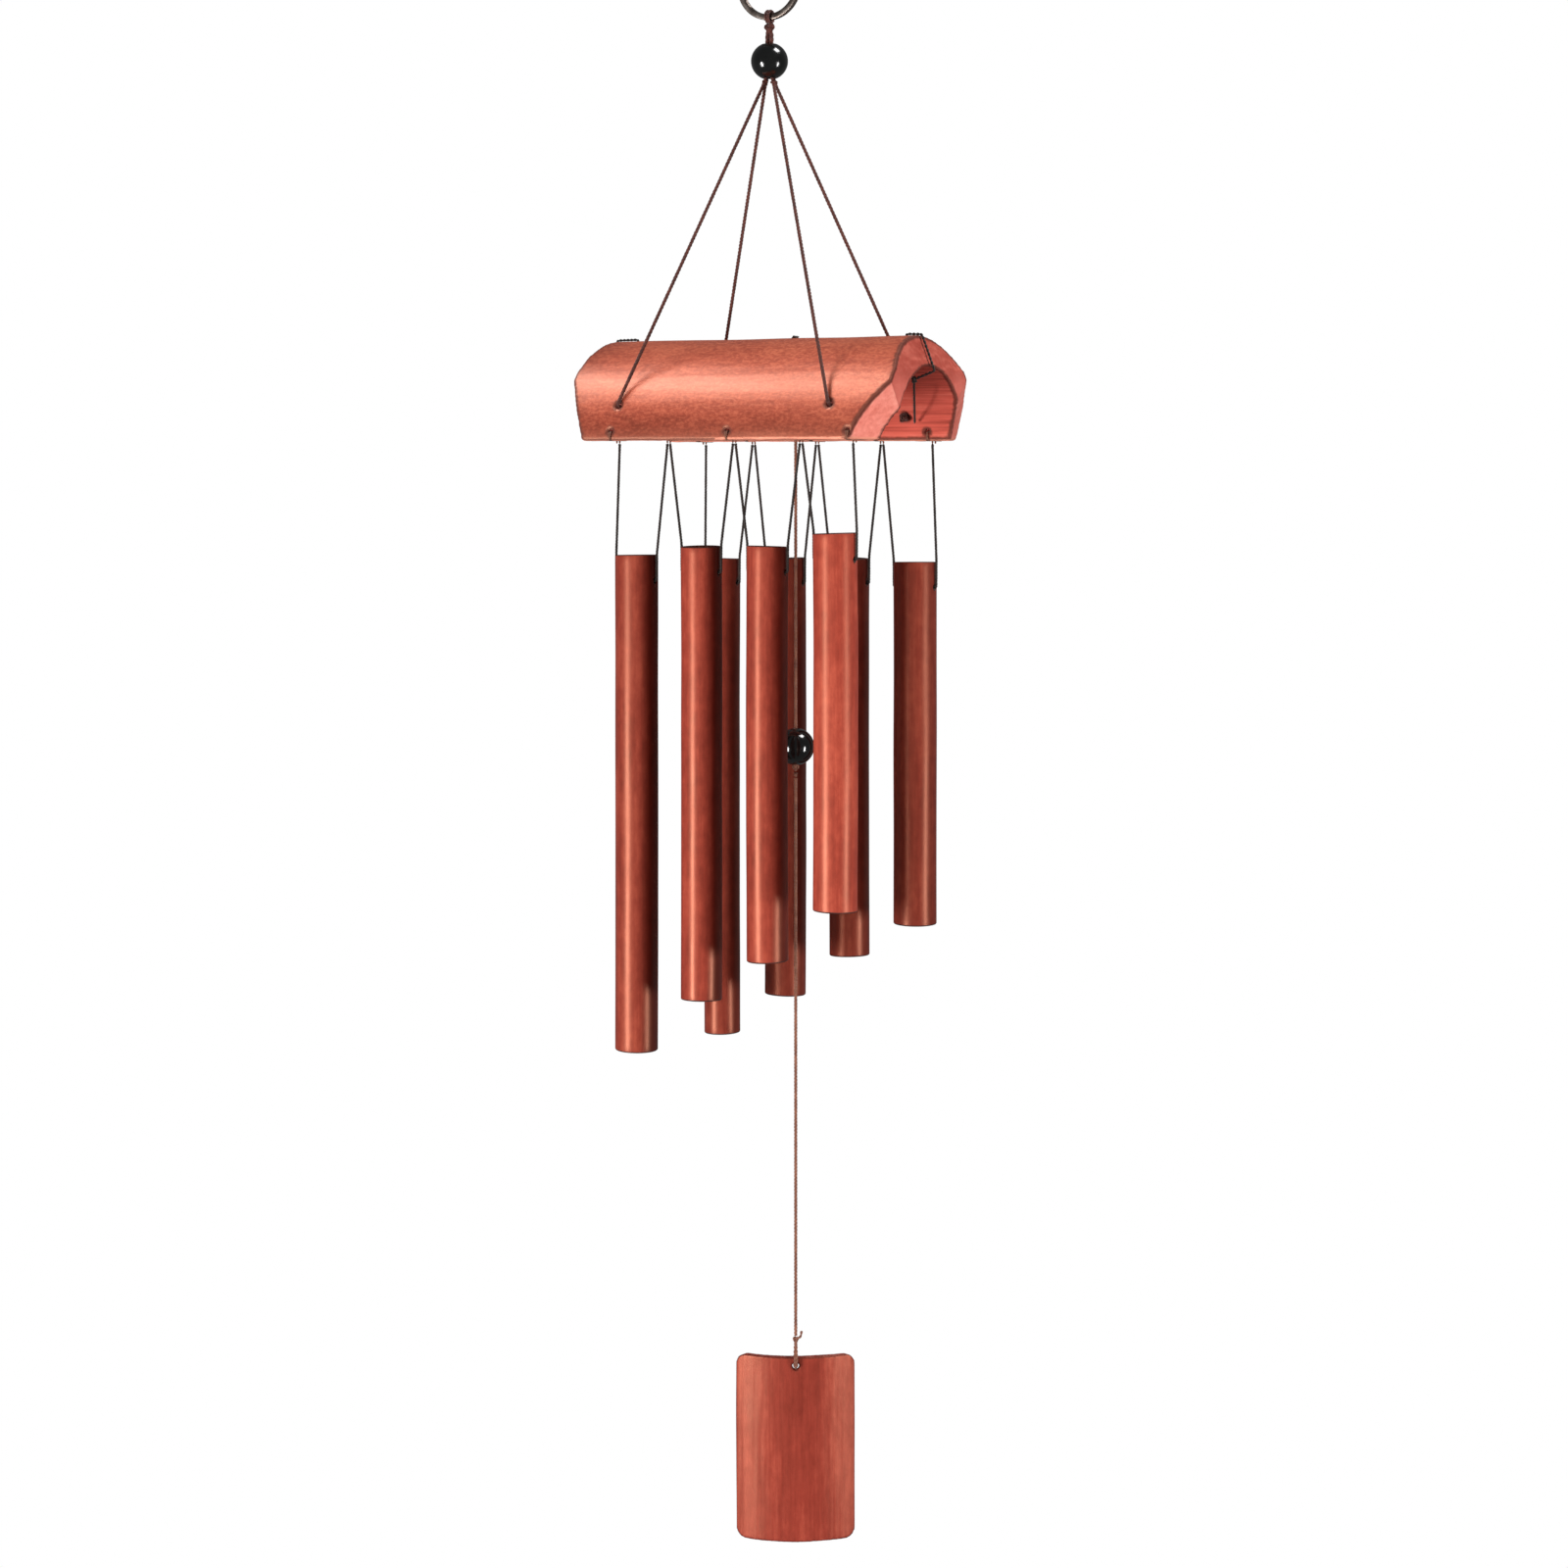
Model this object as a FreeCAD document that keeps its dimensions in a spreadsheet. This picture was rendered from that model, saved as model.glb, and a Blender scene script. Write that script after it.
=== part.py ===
"""Bamboo wind chime: a half-culm roof on four cords under a hanging ring, two rows of four tuned
tubes, a bead clapper and a curved wind sail.

Frame: millimetres, +Z up, +X along the roof, origin at the centre of the hanging ring.
Every driving size is in the sheet "sizes"; heights called *_drop are measured down from the origin.
"""
import FreeCAD, Part
import math
import os

import Sketcher
from FreeCAD import Placement, Rotation, Vector

doc = FreeCAD.newDocument("wind_chime")

# ---------------------------------------------------------------- driving dimensions
DRIVING = [
    ("ring_outer", 17.5), ("ring_inner", 14.5), ("ring_width", 2.8), ("ring_slot", 0.2),
    ("ring_wound_deg", 300), ("ring_chamfer", 0.25), ("ring_slot_overrun", 1),
    ("loop_cord", 0.9), ("loop_bend", 3.1), ("loop_knot", 2.6),
    ("loop_knot_drop", 21.3), ("neck_cord", 1.15), ("neck_gap", 1.2), ("neck_end_drop", 29.9),
    ("bead_radius", 9.1), ("top_bead_bore", 3.1), ("top_bead_drop", 37.6),
    ("hang_cord", 0.85), ("hang_knot", 1.9), ("hang_knot_side", 2.5), ("hang_knot_drop", 48.6),
    ("cord_bore_side", 1.3), ("cord_throat_side", 1.6), ("cord_throat_rise", 2),
    ("hang_hole_side", 58), ("hang_hole_rise", 17), ("hang_hole_radius", 1.6),
    ("hang_cord_lip", 1.3), ("stopper_reach", 1.8), ("stopper_knot", 2.4), ("stopper_seat", 1),
    ("culm_radius", 50), ("culm_wall", 15), ("roof_half", 88), ("split_drop", 223.5),
    ("deep_trim", 20), ("deep_trim_rise", 28), ("deep_trim_skew", 11),
    ("light_trim", 11), ("light_trim_rise", 30), ("light_trim_skew", 4),
    ("ridge_trim_right", 6), ("ridge_trim_left", 2), ("ridge_trim_depth", 17),
    ("row_offset", 42), ("row_shift", 4), ("tube_pitch", 36.4), ("stitch_end_side", 65),
    ("stitch_rise", 4.5), ("stitch_cord", 0.6), ("stitch_hole", 1.3), ("tube_cord", 0.55), ("cord_pair_gap", 0.8),
    ("cord_clearance", 0.9), ("cord_top_drop", 225.7),
    ("tube_wall", 2.3), ("tube_hole_radius", 1.2), ("tube_hole_drop", 12.5),
    ("tube_round", 0.5), ("clapper_side", 14.6), ("clapper_drop", 372.7), ("clapper_bore", 1.6),
    ("string_radius", 0.75), ("ridge_knot", 1.9), ("ridge_gap", 0.1), ("stub_below", 0.8),
    ("tie_knot", 1.5), ("tie_gap", 1.0), ("link_gap", 0.3), ("stop_knot", 1.9), ("stop_gap", 1.1),
    ("hitch_knot", 1.2), ("sail_knot", 1.7), ("sail_knot_drop", 661.8), ("sail_cord", 0.6),
    ("sail_foot_gap", 0.2), ("sail_shoulder", 5), ("sail_tail_side", 2.9), ("sail_tail_rise", 4.2),
    ("sail_top_drop", 670.2),
    ("sail_height", 90), ("sail_width", 58.5), ("sail_wall", 4), ("sail_corner", 5.5),
    ("sail_hole_radius", 1.8), ("sail_hole_inset", 4.4), ("sail_turn_deg", 29),
    ("end_cord", 0.7), ("end_knot", 2.2), ("end_hole_side", 75), ("end_knot_side", 4),
    ("end_knot_sink", 6), ("end_cord_proud", 1.1),
]
# one line per tube: outer radius, length, gap from the roof's split edge to the tube's top
TUBES = {
    "front": [(10.5, 240.5, 55.5), (10.0, 218, 51), (10.0, 197.5, 50.5), (10.5, 178, 44)],
    "rear": [(9.0, 240.5, 59), (10.2, 219, 58.5), (10.0, 197.5, 58), (10.7, 178, 59.5)],
}
ROW_SIGN = {"front": -1, "rear": 1}
TRIM_BLOCK = 200        # side of the blocks that trim the roof's ends
DRILL_OVERRUN = 5       # how far a drill runs on beyond each face of the wall

sizes = doc.addObject("Spreadsheet::Sheet", "sizes")
for row, tubes in TUBES.items():
    for number, values in enumerate(tubes, 1):
        for word, value in zip(("radius", "length", "gap"), values):
            DRIVING.append((f"{row}_tube_{number}_{word}", value))
for line, (alias, value) in enumerate(DRIVING, 1):
    sizes.set(f"A{line}", alias)
    sizes.set(f"B{line}", str(value))
    sizes.setAlias(f"B{line}", alias)
doc.recompute()


def size(alias):
    return float(sizes.get(alias))


# ---------------------------------------------------------------- helpers
parts = []


def keep(obj, label):
    """Give a finished sub-part its own label and put it on the export list."""
    obj.Label = label
    parts.append(obj)
    return obj


def new_body(name):
    return doc.addObject("PartDesign::Body", name)


def new_sketch(body, role, name):
    """A sketch on one of the body's own origin planes."""
    plane = next(f for f in body.Origin.OriginFeatures if f.Role == role)
    sketch = body.newObject("Sketcher::SketchObject", name)
    sketch.AttachmentSupport = (plane, [""])
    sketch.MapMode = "FlatFace"
    return sketch


def bind(sketch, constraint, expression):
    """Add a named dimension and drive it from the sheet."""
    name = "size%d" % sketch.ConstraintCount
    index = sketch.addConstraint(constraint)
    sketch.renameConstraint(index, name)
    sketch.setExpression(f"Constraints.{name}", expression)


def rim_edges(body):
    """Names of the circular edges of a body's shape so far."""
    edges = enumerate(body.Shape.Edges, 1)
    return [f"Edge{number}" for number, edge in edges if edge.Curve.TypeId == "Part::GeomCircle"]


def centred_circle(sketch, expression):
    """A circle about the sketch's origin whose radius follows the sheet."""
    edge = sketch.addGeometry(Part.Circle(Vector(), Vector(0, 0, 1), 5), False)
    sketch.addConstraint(Sketcher.Constraint("Coincident", edge, 3, -1, 1))
    bind(sketch, Sketcher.Constraint("Radius", edge, 5), expression)


def hole_circle(sketch, radius, rise_expression, rise):
    """A circle on the sketch's vertical axis, at a height above its origin."""
    centre = Vector(0, rise)
    edge = sketch.addGeometry(Part.Circle(centre, Vector(0, 0, 1), size(radius)), False)
    sketch.addConstraint(Sketcher.Constraint("PointOnObject", edge, 3, -2))
    bind(sketch, Sketcher.Constraint("Radius", edge, size(radius)), f"sizes.{radius}")
    bind(sketch, Sketcher.Constraint("DistanceY", -1, 1, edge, 3, rise), rise_expression)


def place(obj, base, rotation=None):
    obj.Placement = Placement(Vector(*base), rotation or Rotation())


def pad(body, sketch, length, midplane=False):
    feature = body.newObject("PartDesign::Pad", body.Name + "_pad")
    feature.Profile = sketch
    feature.Midplane = midplane
    feature.setExpression("Length", length)
    return feature


def strand(points, radius, ends=True):
    """A round cord along straight runs, with a ball at each bend; ends=False leaves flat ends."""
    points = [Vector(*p) for p in points]
    pieces = []
    for start, end in zip(points, points[1:]):
        pieces.append(Part.makeCylinder(radius, (end - start).Length, start, end - start))
    closed = (points[0] - points[-1]).Length < 1e-6
    bends = points[:-1] if closed else (points if ends else points[1:-1])
    pieces += [Part.makeSphere(radius, p) for p in bends]
    return pieces


def ball(radius, centre):
    return Part.makeSphere(radius, Vector(*centre))


def cord_part(name, pieces):
    """One cord with its knots, joined to a single solid."""
    obj = doc.addObject("Part::Feature", name)
    obj.Shape = pieces[0].multiFuse(pieces[1:]).removeSplitter()
    return keep(obj, name)


# ---------------------------------------------------------------- hanging ring
def hanging_ring():
    """Flat-wire split ring in the XZ plane: two turns parted by a thin slot for most of the circle."""
    body = new_body("ring_body")
    outline = new_sketch(body, "XZ_Plane", "ring_outline")
    centred_circle(outline, "sizes.ring_outer")
    centred_circle(outline, "sizes.ring_inner")
    pad(body, outline, "sizes.ring_width", midplane=True)
    doc.recompute()
    rims = rim_edges(body)
    eased = body.newObject("PartDesign::Chamfer", "ring_edges")
    eased.Base = (eased.BaseFeature, rims)
    eased.setExpression("Size", "sizes.ring_chamfer")
    doc.recompute()
    slot = new_sketch(body, "XY_Plane", "ring_slot_section")
    half = size("ring_slot") / 2
    inner = size("ring_inner") - size("ring_slot_overrun")
    outer = size("ring_outer") + size("ring_slot_overrun")
    corners = [Vector(inner, -half), Vector(outer, -half), Vector(outer, half), Vector(inner, half)]
    for start, end in zip(corners, corners[1:] + corners[:1]):
        slot.addGeometry(Part.LineSegment(start, end), False)
    for edge in range(4):
        slot.addConstraint(Sketcher.Constraint("Coincident", edge, 2, (edge + 1) % 4, 1))
    for edge in (0, 2):
        slot.addConstraint(Sketcher.Constraint("Horizontal", edge))
    for edge in (1, 3):
        slot.addConstraint(Sketcher.Constraint("Vertical", edge))
    bind(slot, Sketcher.Constraint("DistanceY", 0, 2, 1, 2, 2 * half), "sizes.ring_slot")
    bind(slot, Sketcher.Constraint("DistanceX", -1, 1, 0, 1, inner),
         "sizes.ring_inner - sizes.ring_slot_overrun")
    bind(slot, Sketcher.Constraint("DistanceX", -1, 1, 0, 2, outer),
         "sizes.ring_outer + sizes.ring_slot_overrun")
    bind(slot, Sketcher.Constraint("DistanceY", 0, 1, -1, 1, half), "sizes.ring_slot / 2")
    groove = body.newObject("PartDesign::Groove", "ring_slot_cut")
    groove.Profile = slot
    groove.ReferenceAxis = (slot, ["V_Axis"])
    groove.setExpression("Angle", "sizes.ring_wound_deg")
    return keep(body, "split_ring")


# ---------------------------------------------------------------- hanging loop and beads
def hanger_loop():
    """Cord loop round the ring's wire, its knot, and the two-strand neck down into the top bead."""
    wire = (size("ring_outer") + size("ring_inner")) / 2
    cord, knot_z, side = size("loop_cord"), -size("loop_knot_drop"), size("neck_gap")
    loop = Part.makeTorus(size("loop_bend"), cord, Vector(0, 0, -wire), Vector(1, 0, 0))
    pieces = [loop, ball(size("loop_knot"), (0, 0, knot_z))]
    for x in (-side, side):
        neck = [(x, 0, knot_z), (x, 0, -size("neck_end_drop"))]
        pieces += strand(neck, size("neck_cord"), ends=False)
    return cord_part("hanger_loop", pieces)


def bead(name, bore, side, drop):
    """A turned ball with a bore: the profile is the ball's arc closed by the bore's wall."""
    body = new_body(name + "_body")
    sketch = new_sketch(body, "XZ_Plane", name + "_profile")
    radius, hole = size("bead_radius"), size(bore)
    half = math.sqrt(radius ** 2 - hole ** 2)
    turn = math.asin(half / radius)
    circle = Part.Circle(Vector(), Vector(0, 0, 1), radius)
    sketch.addGeometry(Part.ArcOfCircle(circle, -turn, turn), False)
    sketch.addGeometry(Part.LineSegment(Vector(hole, half), Vector(hole, -half)), False)
    sketch.addConstraint(Sketcher.Constraint("Coincident", 0, 2, 1, 1))
    sketch.addConstraint(Sketcher.Constraint("Coincident", 0, 1, 1, 2))
    sketch.addConstraint(Sketcher.Constraint("Coincident", 0, 3, -1, 1))
    sketch.addConstraint(Sketcher.Constraint("Vertical", 1))
    bind(sketch, Sketcher.Constraint("Radius", 0, radius), "sizes.bead_radius")
    bind(sketch, Sketcher.Constraint("DistanceX", -1, 1, 1, 1, hole), f"sizes.{bore}")
    turned = body.newObject("PartDesign::Revolution", name + "_turned")
    turned.Profile = sketch
    turned.ReferenceAxis = (sketch, ["V_Axis"])
    turned.Angle = 360
    place(body, (side, 0, -drop))
    return keep(body, name)


# ---------------------------------------------------------------- roof
def roof_point(x, radius, rise, sign):
    """A point on a cylinder about the culm's axis, at a height above the split edge."""
    return Vector(x, sign * math.sqrt(radius ** 2 - rise ** 2), rise - size("split_drop"))


def outside_block(points, inside):
    """A block that fills the far side of the plane through three points, seen from inside."""
    first, second, third = points
    normal = (second - first).cross(third - first).normalize()
    if normal.dot(inside - first) > 0:
        normal = -normal
    block = doc.addObject("Part::Box", "trim")
    block.Length = block.Width = TRIM_BLOCK
    block.Height = TRIM_BLOCK / 2
    turn = Rotation(Vector(0, 0, 1), normal)
    block.Placement = Placement(first - turn.multVec(Vector(TRIM_BLOCK / 2, TRIM_BLOCK / 2, 0)), turn)
    return block


def lower_corner(end, sign, kind):
    """The knife cut that takes off one lower corner, slanting outwards through the wall."""
    cut, rise, skew = (size(kind + w) for w in ("_trim", "_trim_rise", "_trim_skew"))
    outer, inner = size("culm_radius"), size("culm_radius") - size("culm_wall")
    tip = size("roof_half")
    points = (roof_point(end * (tip - cut), outer, 0, sign), roof_point(end * tip, outer, rise, sign),
              roof_point(end * (tip - cut + skew), inner, 0, sign))
    return outside_block(points, Vector(0, 0, -size("split_drop")))


def ridge_cut(end, depth):
    """The sloping cut across the top of one end."""
    tip, top = size("roof_half"), size("culm_radius") - size("split_drop")
    foot = top - size("ridge_trim_depth")
    points = (Vector(end * tip, 0, foot), Vector(end * tip, top - foot, foot),
              Vector(end * (tip - depth), 0, top))
    return outside_block(points, Vector(0, 0, foot))


def drill(radius, mouth, end):
    """A cylinder tool through two points, running on past both; its radius follows the sheet."""
    along = (end - mouth).normalize()
    tool = doc.addObject("Part::Cylinder", "drill")
    tool.setExpression("Radius", f"sizes.{radius}")
    tool.Height = (end - mouth).Length + 2 * DRILL_OVERRUN
    tool.Placement = Placement(mouth - along * DRILL_OVERRUN, Rotation(Vector(0, 0, 1), along))
    return tool


def stitch_places():
    """Along one wall: place along X and whether the hole shows on the outer face."""
    middle, end, pitch = size("row_shift"), size("stitch_end_side"), size("tube_pitch")
    return [(middle - end, True), (middle - pitch, False), (middle, True),
            (middle + pitch, False), (middle + end, True)]


def stitch_points(x, sign, through):
    """Corners of the cord stitch round the wall's lower edge (through) or its inner corner."""
    outer, inner = size("culm_radius"), size("culm_radius") - size("culm_wall")
    cord, split = size("stitch_cord"), -size("split_drop")
    below = split - 1.5 * cord
    proud, tucked = 1.8 * cord, 1.1 * cord
    if through:
        rise = split + size("stitch_rise")
        return [(x, sign * (outer + proud), rise), (x, sign * (inner - proud), rise),
                (x, sign * (inner - proud), below), (x, sign * (outer + tucked), below)]
    rise = split + 2 * size("stitch_rise")
    middle = size("row_offset") + size("hang_cord_lip")
    face = math.sqrt(inner ** 2 - (rise - split) ** 2) - proud
    return [(x, sign * face, rise), (x, sign * middle, below), (x, sign * face, below)]


def roof():
    """Half culm: a half ring padded along X, its ends trimmed and its cord holes drilled."""
    body = new_body("roof_body")
    sketch = new_sketch(body, "YZ_Plane", "roof_section")
    outer, wall = size("culm_radius"), size("culm_wall")
    for radius in (outer, outer - wall):
        circle = Part.Circle(Vector(), Vector(0, 0, 1), radius)
        sketch.addGeometry(Part.ArcOfCircle(circle, 0, math.pi), False)
    sketch.addGeometry(Part.LineSegment(Vector(outer, 0), Vector(outer - wall, 0)), False)
    sketch.addGeometry(Part.LineSegment(Vector(-outer, 0), Vector(wall - outer, 0)), False)
    for edge, start in ((2, 1), (3, 2)):
        sketch.addConstraint(Sketcher.Constraint("Coincident", 0, start, edge, 1))
        sketch.addConstraint(Sketcher.Constraint("Coincident", 1, start, edge, 2))
        sketch.addConstraint(Sketcher.Constraint("PointOnObject", edge, 1, -1))
        sketch.addConstraint(Sketcher.Constraint("PointOnObject", edge, 2, -1))
    for edge in (0, 1):
        sketch.addConstraint(Sketcher.Constraint("Coincident", edge, 3, -1, 1))
    bind(sketch, Sketcher.Constraint("Radius", 0, outer), "sizes.culm_radius")
    bind(sketch, Sketcher.Constraint("Radius", 1, outer - wall), "sizes.culm_radius - sizes.culm_wall")
    pad(body, sketch, "2 * sizes.roof_half", midplane=True)
    place(body, (0, 0, -size("split_drop")))
    tools = [lower_corner(1, -1, "deep"), lower_corner(-1, 1, "deep"),
             lower_corner(-1, -1, "light"), lower_corner(1, 1, "light"),
             ridge_cut(1, size("ridge_trim_right")), ridge_cut(-1, size("ridge_trim_left"))]
    axis_z = -size("split_drop")
    for sign in (-1, 1):
        for x in (-size("hang_hole_side"), size("hang_hole_side")):
            mouth = roof_point(x, outer, size("hang_hole_rise"), sign)
            inward = Vector(0, -mouth.y, axis_z - mouth.z).normalize()
            tools.append(drill("hang_hole_radius", mouth, mouth + inward * wall))
        for x, through in stitch_places():
            first, second = [Vector(*p) for p in stitch_points(x, sign, through)][:2]
            tools.append(drill("stitch_hole", second, first))
    for x in (size("clapper_side"), size("end_hole_side"), -size("end_hole_side")):
        mouth = Vector(x, 0, axis_z + outer)
        tools.append(drill("clapper_bore", mouth, mouth - Vector(0, 0, wall)))
    cutter = doc.addObject("Part::MultiFuse", "roof_tools")
    cutter.Shapes = tools
    shaped = doc.addObject("Part::Cut", "roof_cut")
    shaped.Base, shaped.Tool = body, cutter
    return keep(shaped, "bamboo_roof")


def hanging_cord(side, name):
    """One pair of suspension cords: up into the bead, a knot under it, and a leg to each wall."""
    cord, knot_z = size("hang_cord"), -size("hang_knot_drop")
    knot = (side * size("hang_knot_side"), 0, knot_z)
    pieces = [ball(size("hang_knot"), knot)]
    inside = (side * size("cord_bore_side"), 0, -size("top_bead_drop"))
    throat = (side * size("cord_throat_side"), 0, knot_z + size("cord_throat_rise"))
    pieces += strand([inside, throat, knot], cord)
    outer, wall = size("culm_radius"), size("culm_wall")
    for sign in (-1, 1):
        hole = roof_point(side * size("hang_hole_side"), outer, size("hang_hole_rise"), sign)
        outward = Vector(0, hole.y, hole.z + size("split_drop")).normalize()
        mouth, end = hole + outward * size("hang_cord_lip"), hole - outward * (wall + size("stopper_reach"))
        pieces += strand([knot, mouth, end], cord)
        pieces.append(ball(size("stopper_knot"), end - outward * size("stopper_seat")))
    return cord_part(name, pieces)


def row_stitches(row):
    """The cord stitches along one wall that the tube cords hang from."""
    obj = doc.addObject("Part::Feature", row + "_stitches")
    loops = []
    for x, through in stitch_places():
        points = stitch_points(x, ROW_SIGN[row], through)
        pieces = strand(points + points[:1], size("stitch_cord"))
        loops.append(pieces[0].multiFuse(pieces[1:]).removeSplitter())
    obj.Shape = Part.makeCompound(loops)
    return keep(obj, row + "_stitches")


def end_tie(end, name):
    """Cord tied through the ridge hole and round the roof's end, with a knot inside and a tail."""
    wall, proud = size("culm_wall"), size("end_cord_proud")
    top = size("culm_radius") - size("split_drop")
    hole, tip = end * size("end_hole_side"), end * (size("roof_half") + proud)
    trim = end * (size("ridge_trim_right") if end > 0 else size("ridge_trim_left"))
    knot = Vector(hole + end * size("end_knot_side"), 0, top - wall - size("end_knot_sink"))
    loop = [knot, Vector(hole, 0, top - wall - proud), Vector(hole, 0, top + proud),
            Vector(tip - trim, 0, top + proud), Vector(tip, 0, top - wall - 3 * proud), knot]
    inner = size("culm_radius") - wall - 3 * proud
    tail = roof_point(end * size("stitch_end_side"), inner, 2 * size("stitch_rise"), end)
    pieces = strand(loop, size("end_cord")) + strand([knot, tail], size("end_cord"))
    return cord_part(name, pieces + [ball(size("end_knot"), knot)])


# ---------------------------------------------------------------- tubes and their cords
def tube_side(number):
    """Place along X: four tubes to a row, the rows set a little towards the short tubes."""
    return (number - 2.5) * size("tube_pitch") + size("row_shift")


def tube(row, number):
    """Bamboo tube open at both ends, rims eased, one cord hole through it along X near the top."""
    key = f"{row}_tube_{number}"
    body = new_body(key + "_body")
    outline = new_sketch(body, "XY_Plane", key + "_section")
    centred_circle(outline, f"sizes.{key}_radius")
    centred_circle(outline, f"sizes.{key}_radius - sizes.tube_wall")
    pad(body, outline, f"sizes.{key}_length")
    doc.recompute()
    rims = rim_edges(body)
    eased = body.newObject("PartDesign::Fillet", key + "_eased")
    eased.Base = (eased.BaseFeature, rims)
    eased.setExpression("Radius", "sizes.tube_round")
    doc.recompute()
    hole = new_sketch(body, "YZ_Plane", key + "_hole")
    hole_circle(hole, "tube_hole_radius", f"sizes.{key}_length - sizes.tube_hole_drop",
                size(key + "_length") - size("tube_hole_drop"))
    cut = body.newObject("PartDesign::Pocket", key + "_hole_cut")
    cut.Profile = hole
    cut.Midplane = True
    cut.Type = "ThroughAll"
    top = -size("split_drop") - size(key + "_gap")
    place(body, (tube_side(number), ROW_SIGN[row] * size("row_offset"), top - size(key + "_length")))
    return keep(body, key)


def tube_cord(row, number):
    """One cord: down from the left stitch, through the tube's two holes, up to the right stitch."""
    key = f"{row}_tube_{number}"
    x, y = tube_side(number), ROW_SIGN[row] * size("row_offset")
    places = [p[0] for p in stitch_places()]
    left, right = places[number - 1] + size("cord_pair_gap"), places[number] - size("cord_pair_gap")
    out = size(key + "_radius") + size("tube_cord") + size("cord_clearance")
    top, hole = -size("cord_top_drop"), -size("split_drop") - size(key + "_gap") - size("tube_hole_drop")
    points = [(left, y, top), (x - out, y, hole), (x + out, y, hole), (right, y, top)]
    return cord_part(f"{row}_cord_{number}", strand(points, size("tube_cord")))


# ---------------------------------------------------------------- clapper and sail
def two_turn_knot(radius, centre):
    """A small knot: one ball with a second, smaller turn of cord at its side."""
    x, y, z = centre
    return [ball(radius, centre), ball(0.8 * radius, (x + 0.4 * radius, y, z - 0.2 * radius))]


def clapper_parts():
    """Ridge knot, tie knot, string with its stop knot, and the small knot the sail string hangs on."""
    x, string, gap = size("clapper_side"), size("string_radius"), size("link_gap")
    top = size("culm_radius") - size("split_drop")
    under = top - size("culm_wall")
    ridge = (x, 0, top + size("ridge_knot") + size("ridge_gap"))
    stub = strand([ridge, (x, 0, under - size("stub_below"))], string, ends=False)
    cord_part("clapper_ridge_knot", [ball(size("ridge_knot"), ridge)] + stub)
    tie_z = under - size("tie_gap") - size("tie_knot")
    cord_part("clapper_tie_knot", two_turn_knot(size("tie_knot"), (x, 0, tie_z)))
    string_top = tie_z - size("tie_knot") - gap - string
    stop_z = -size("clapper_drop") - size("bead_radius") - size("stop_gap")
    run = strand([(x, 0, string_top), (x, 0, stop_z)], string)
    cord_part("clapper_string", run + [ball(size("stop_knot"), (x, 0, stop_z))])
    hitch_z = stop_z - size("stop_knot") - gap - size("hitch_knot")
    cord_part("sail_hitch_knot", two_turn_knot(size("hitch_knot"), (x, 0, hitch_z)))
    sail_top = hitch_z - size("hitch_knot") - gap - string
    foot = size("sail_knot") - size("sail_knot_drop") + size("sail_foot_gap") + string
    cord_part("sail_string", strand([(x, 0, sail_top), (x, 0, foot)], string))


def sail_facing():
    """Turn about Z from the row frame to the sail's own frame."""
    return Rotation(Vector(0, 0, 1), size("sail_turn_deg"))


def sail_loop():
    """Knot, short tail and the eye of cord that passes through the sail's hole."""
    cord, knot_z = size("sail_cord"), -size("sail_knot_drop")
    hole_z = -size("sail_top_drop") - size("sail_hole_inset")
    half = size("sail_wall") / 2 + 1.5 * cord
    shoulder = knot_z - size("sail_shoulder")
    flat = [(0, 0, knot_z), (0, -half, shoulder), (0, -half, hole_z), (0, half, hole_z),
            (0, half, shoulder), (0, 0, knot_z)]
    side, rise = size("sail_tail_side"), size("sail_tail_rise")
    tail = [(0, 0, knot_z), (0.9 * side, 0, knot_z + 0.3 * rise), (side, 0, knot_z + rise)]
    centre = Vector(size("clapper_side"), 0, 0)
    turned = [[centre + sail_facing().multVec(Vector(*p)) for p in run] for run in (flat, tail)]
    knot = ball(size("sail_knot"), centre + Vector(0, 0, knot_z))
    return cord_part("sail_loop", strand(turned[0], cord) + strand(turned[1], cord) + [knot])


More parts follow.
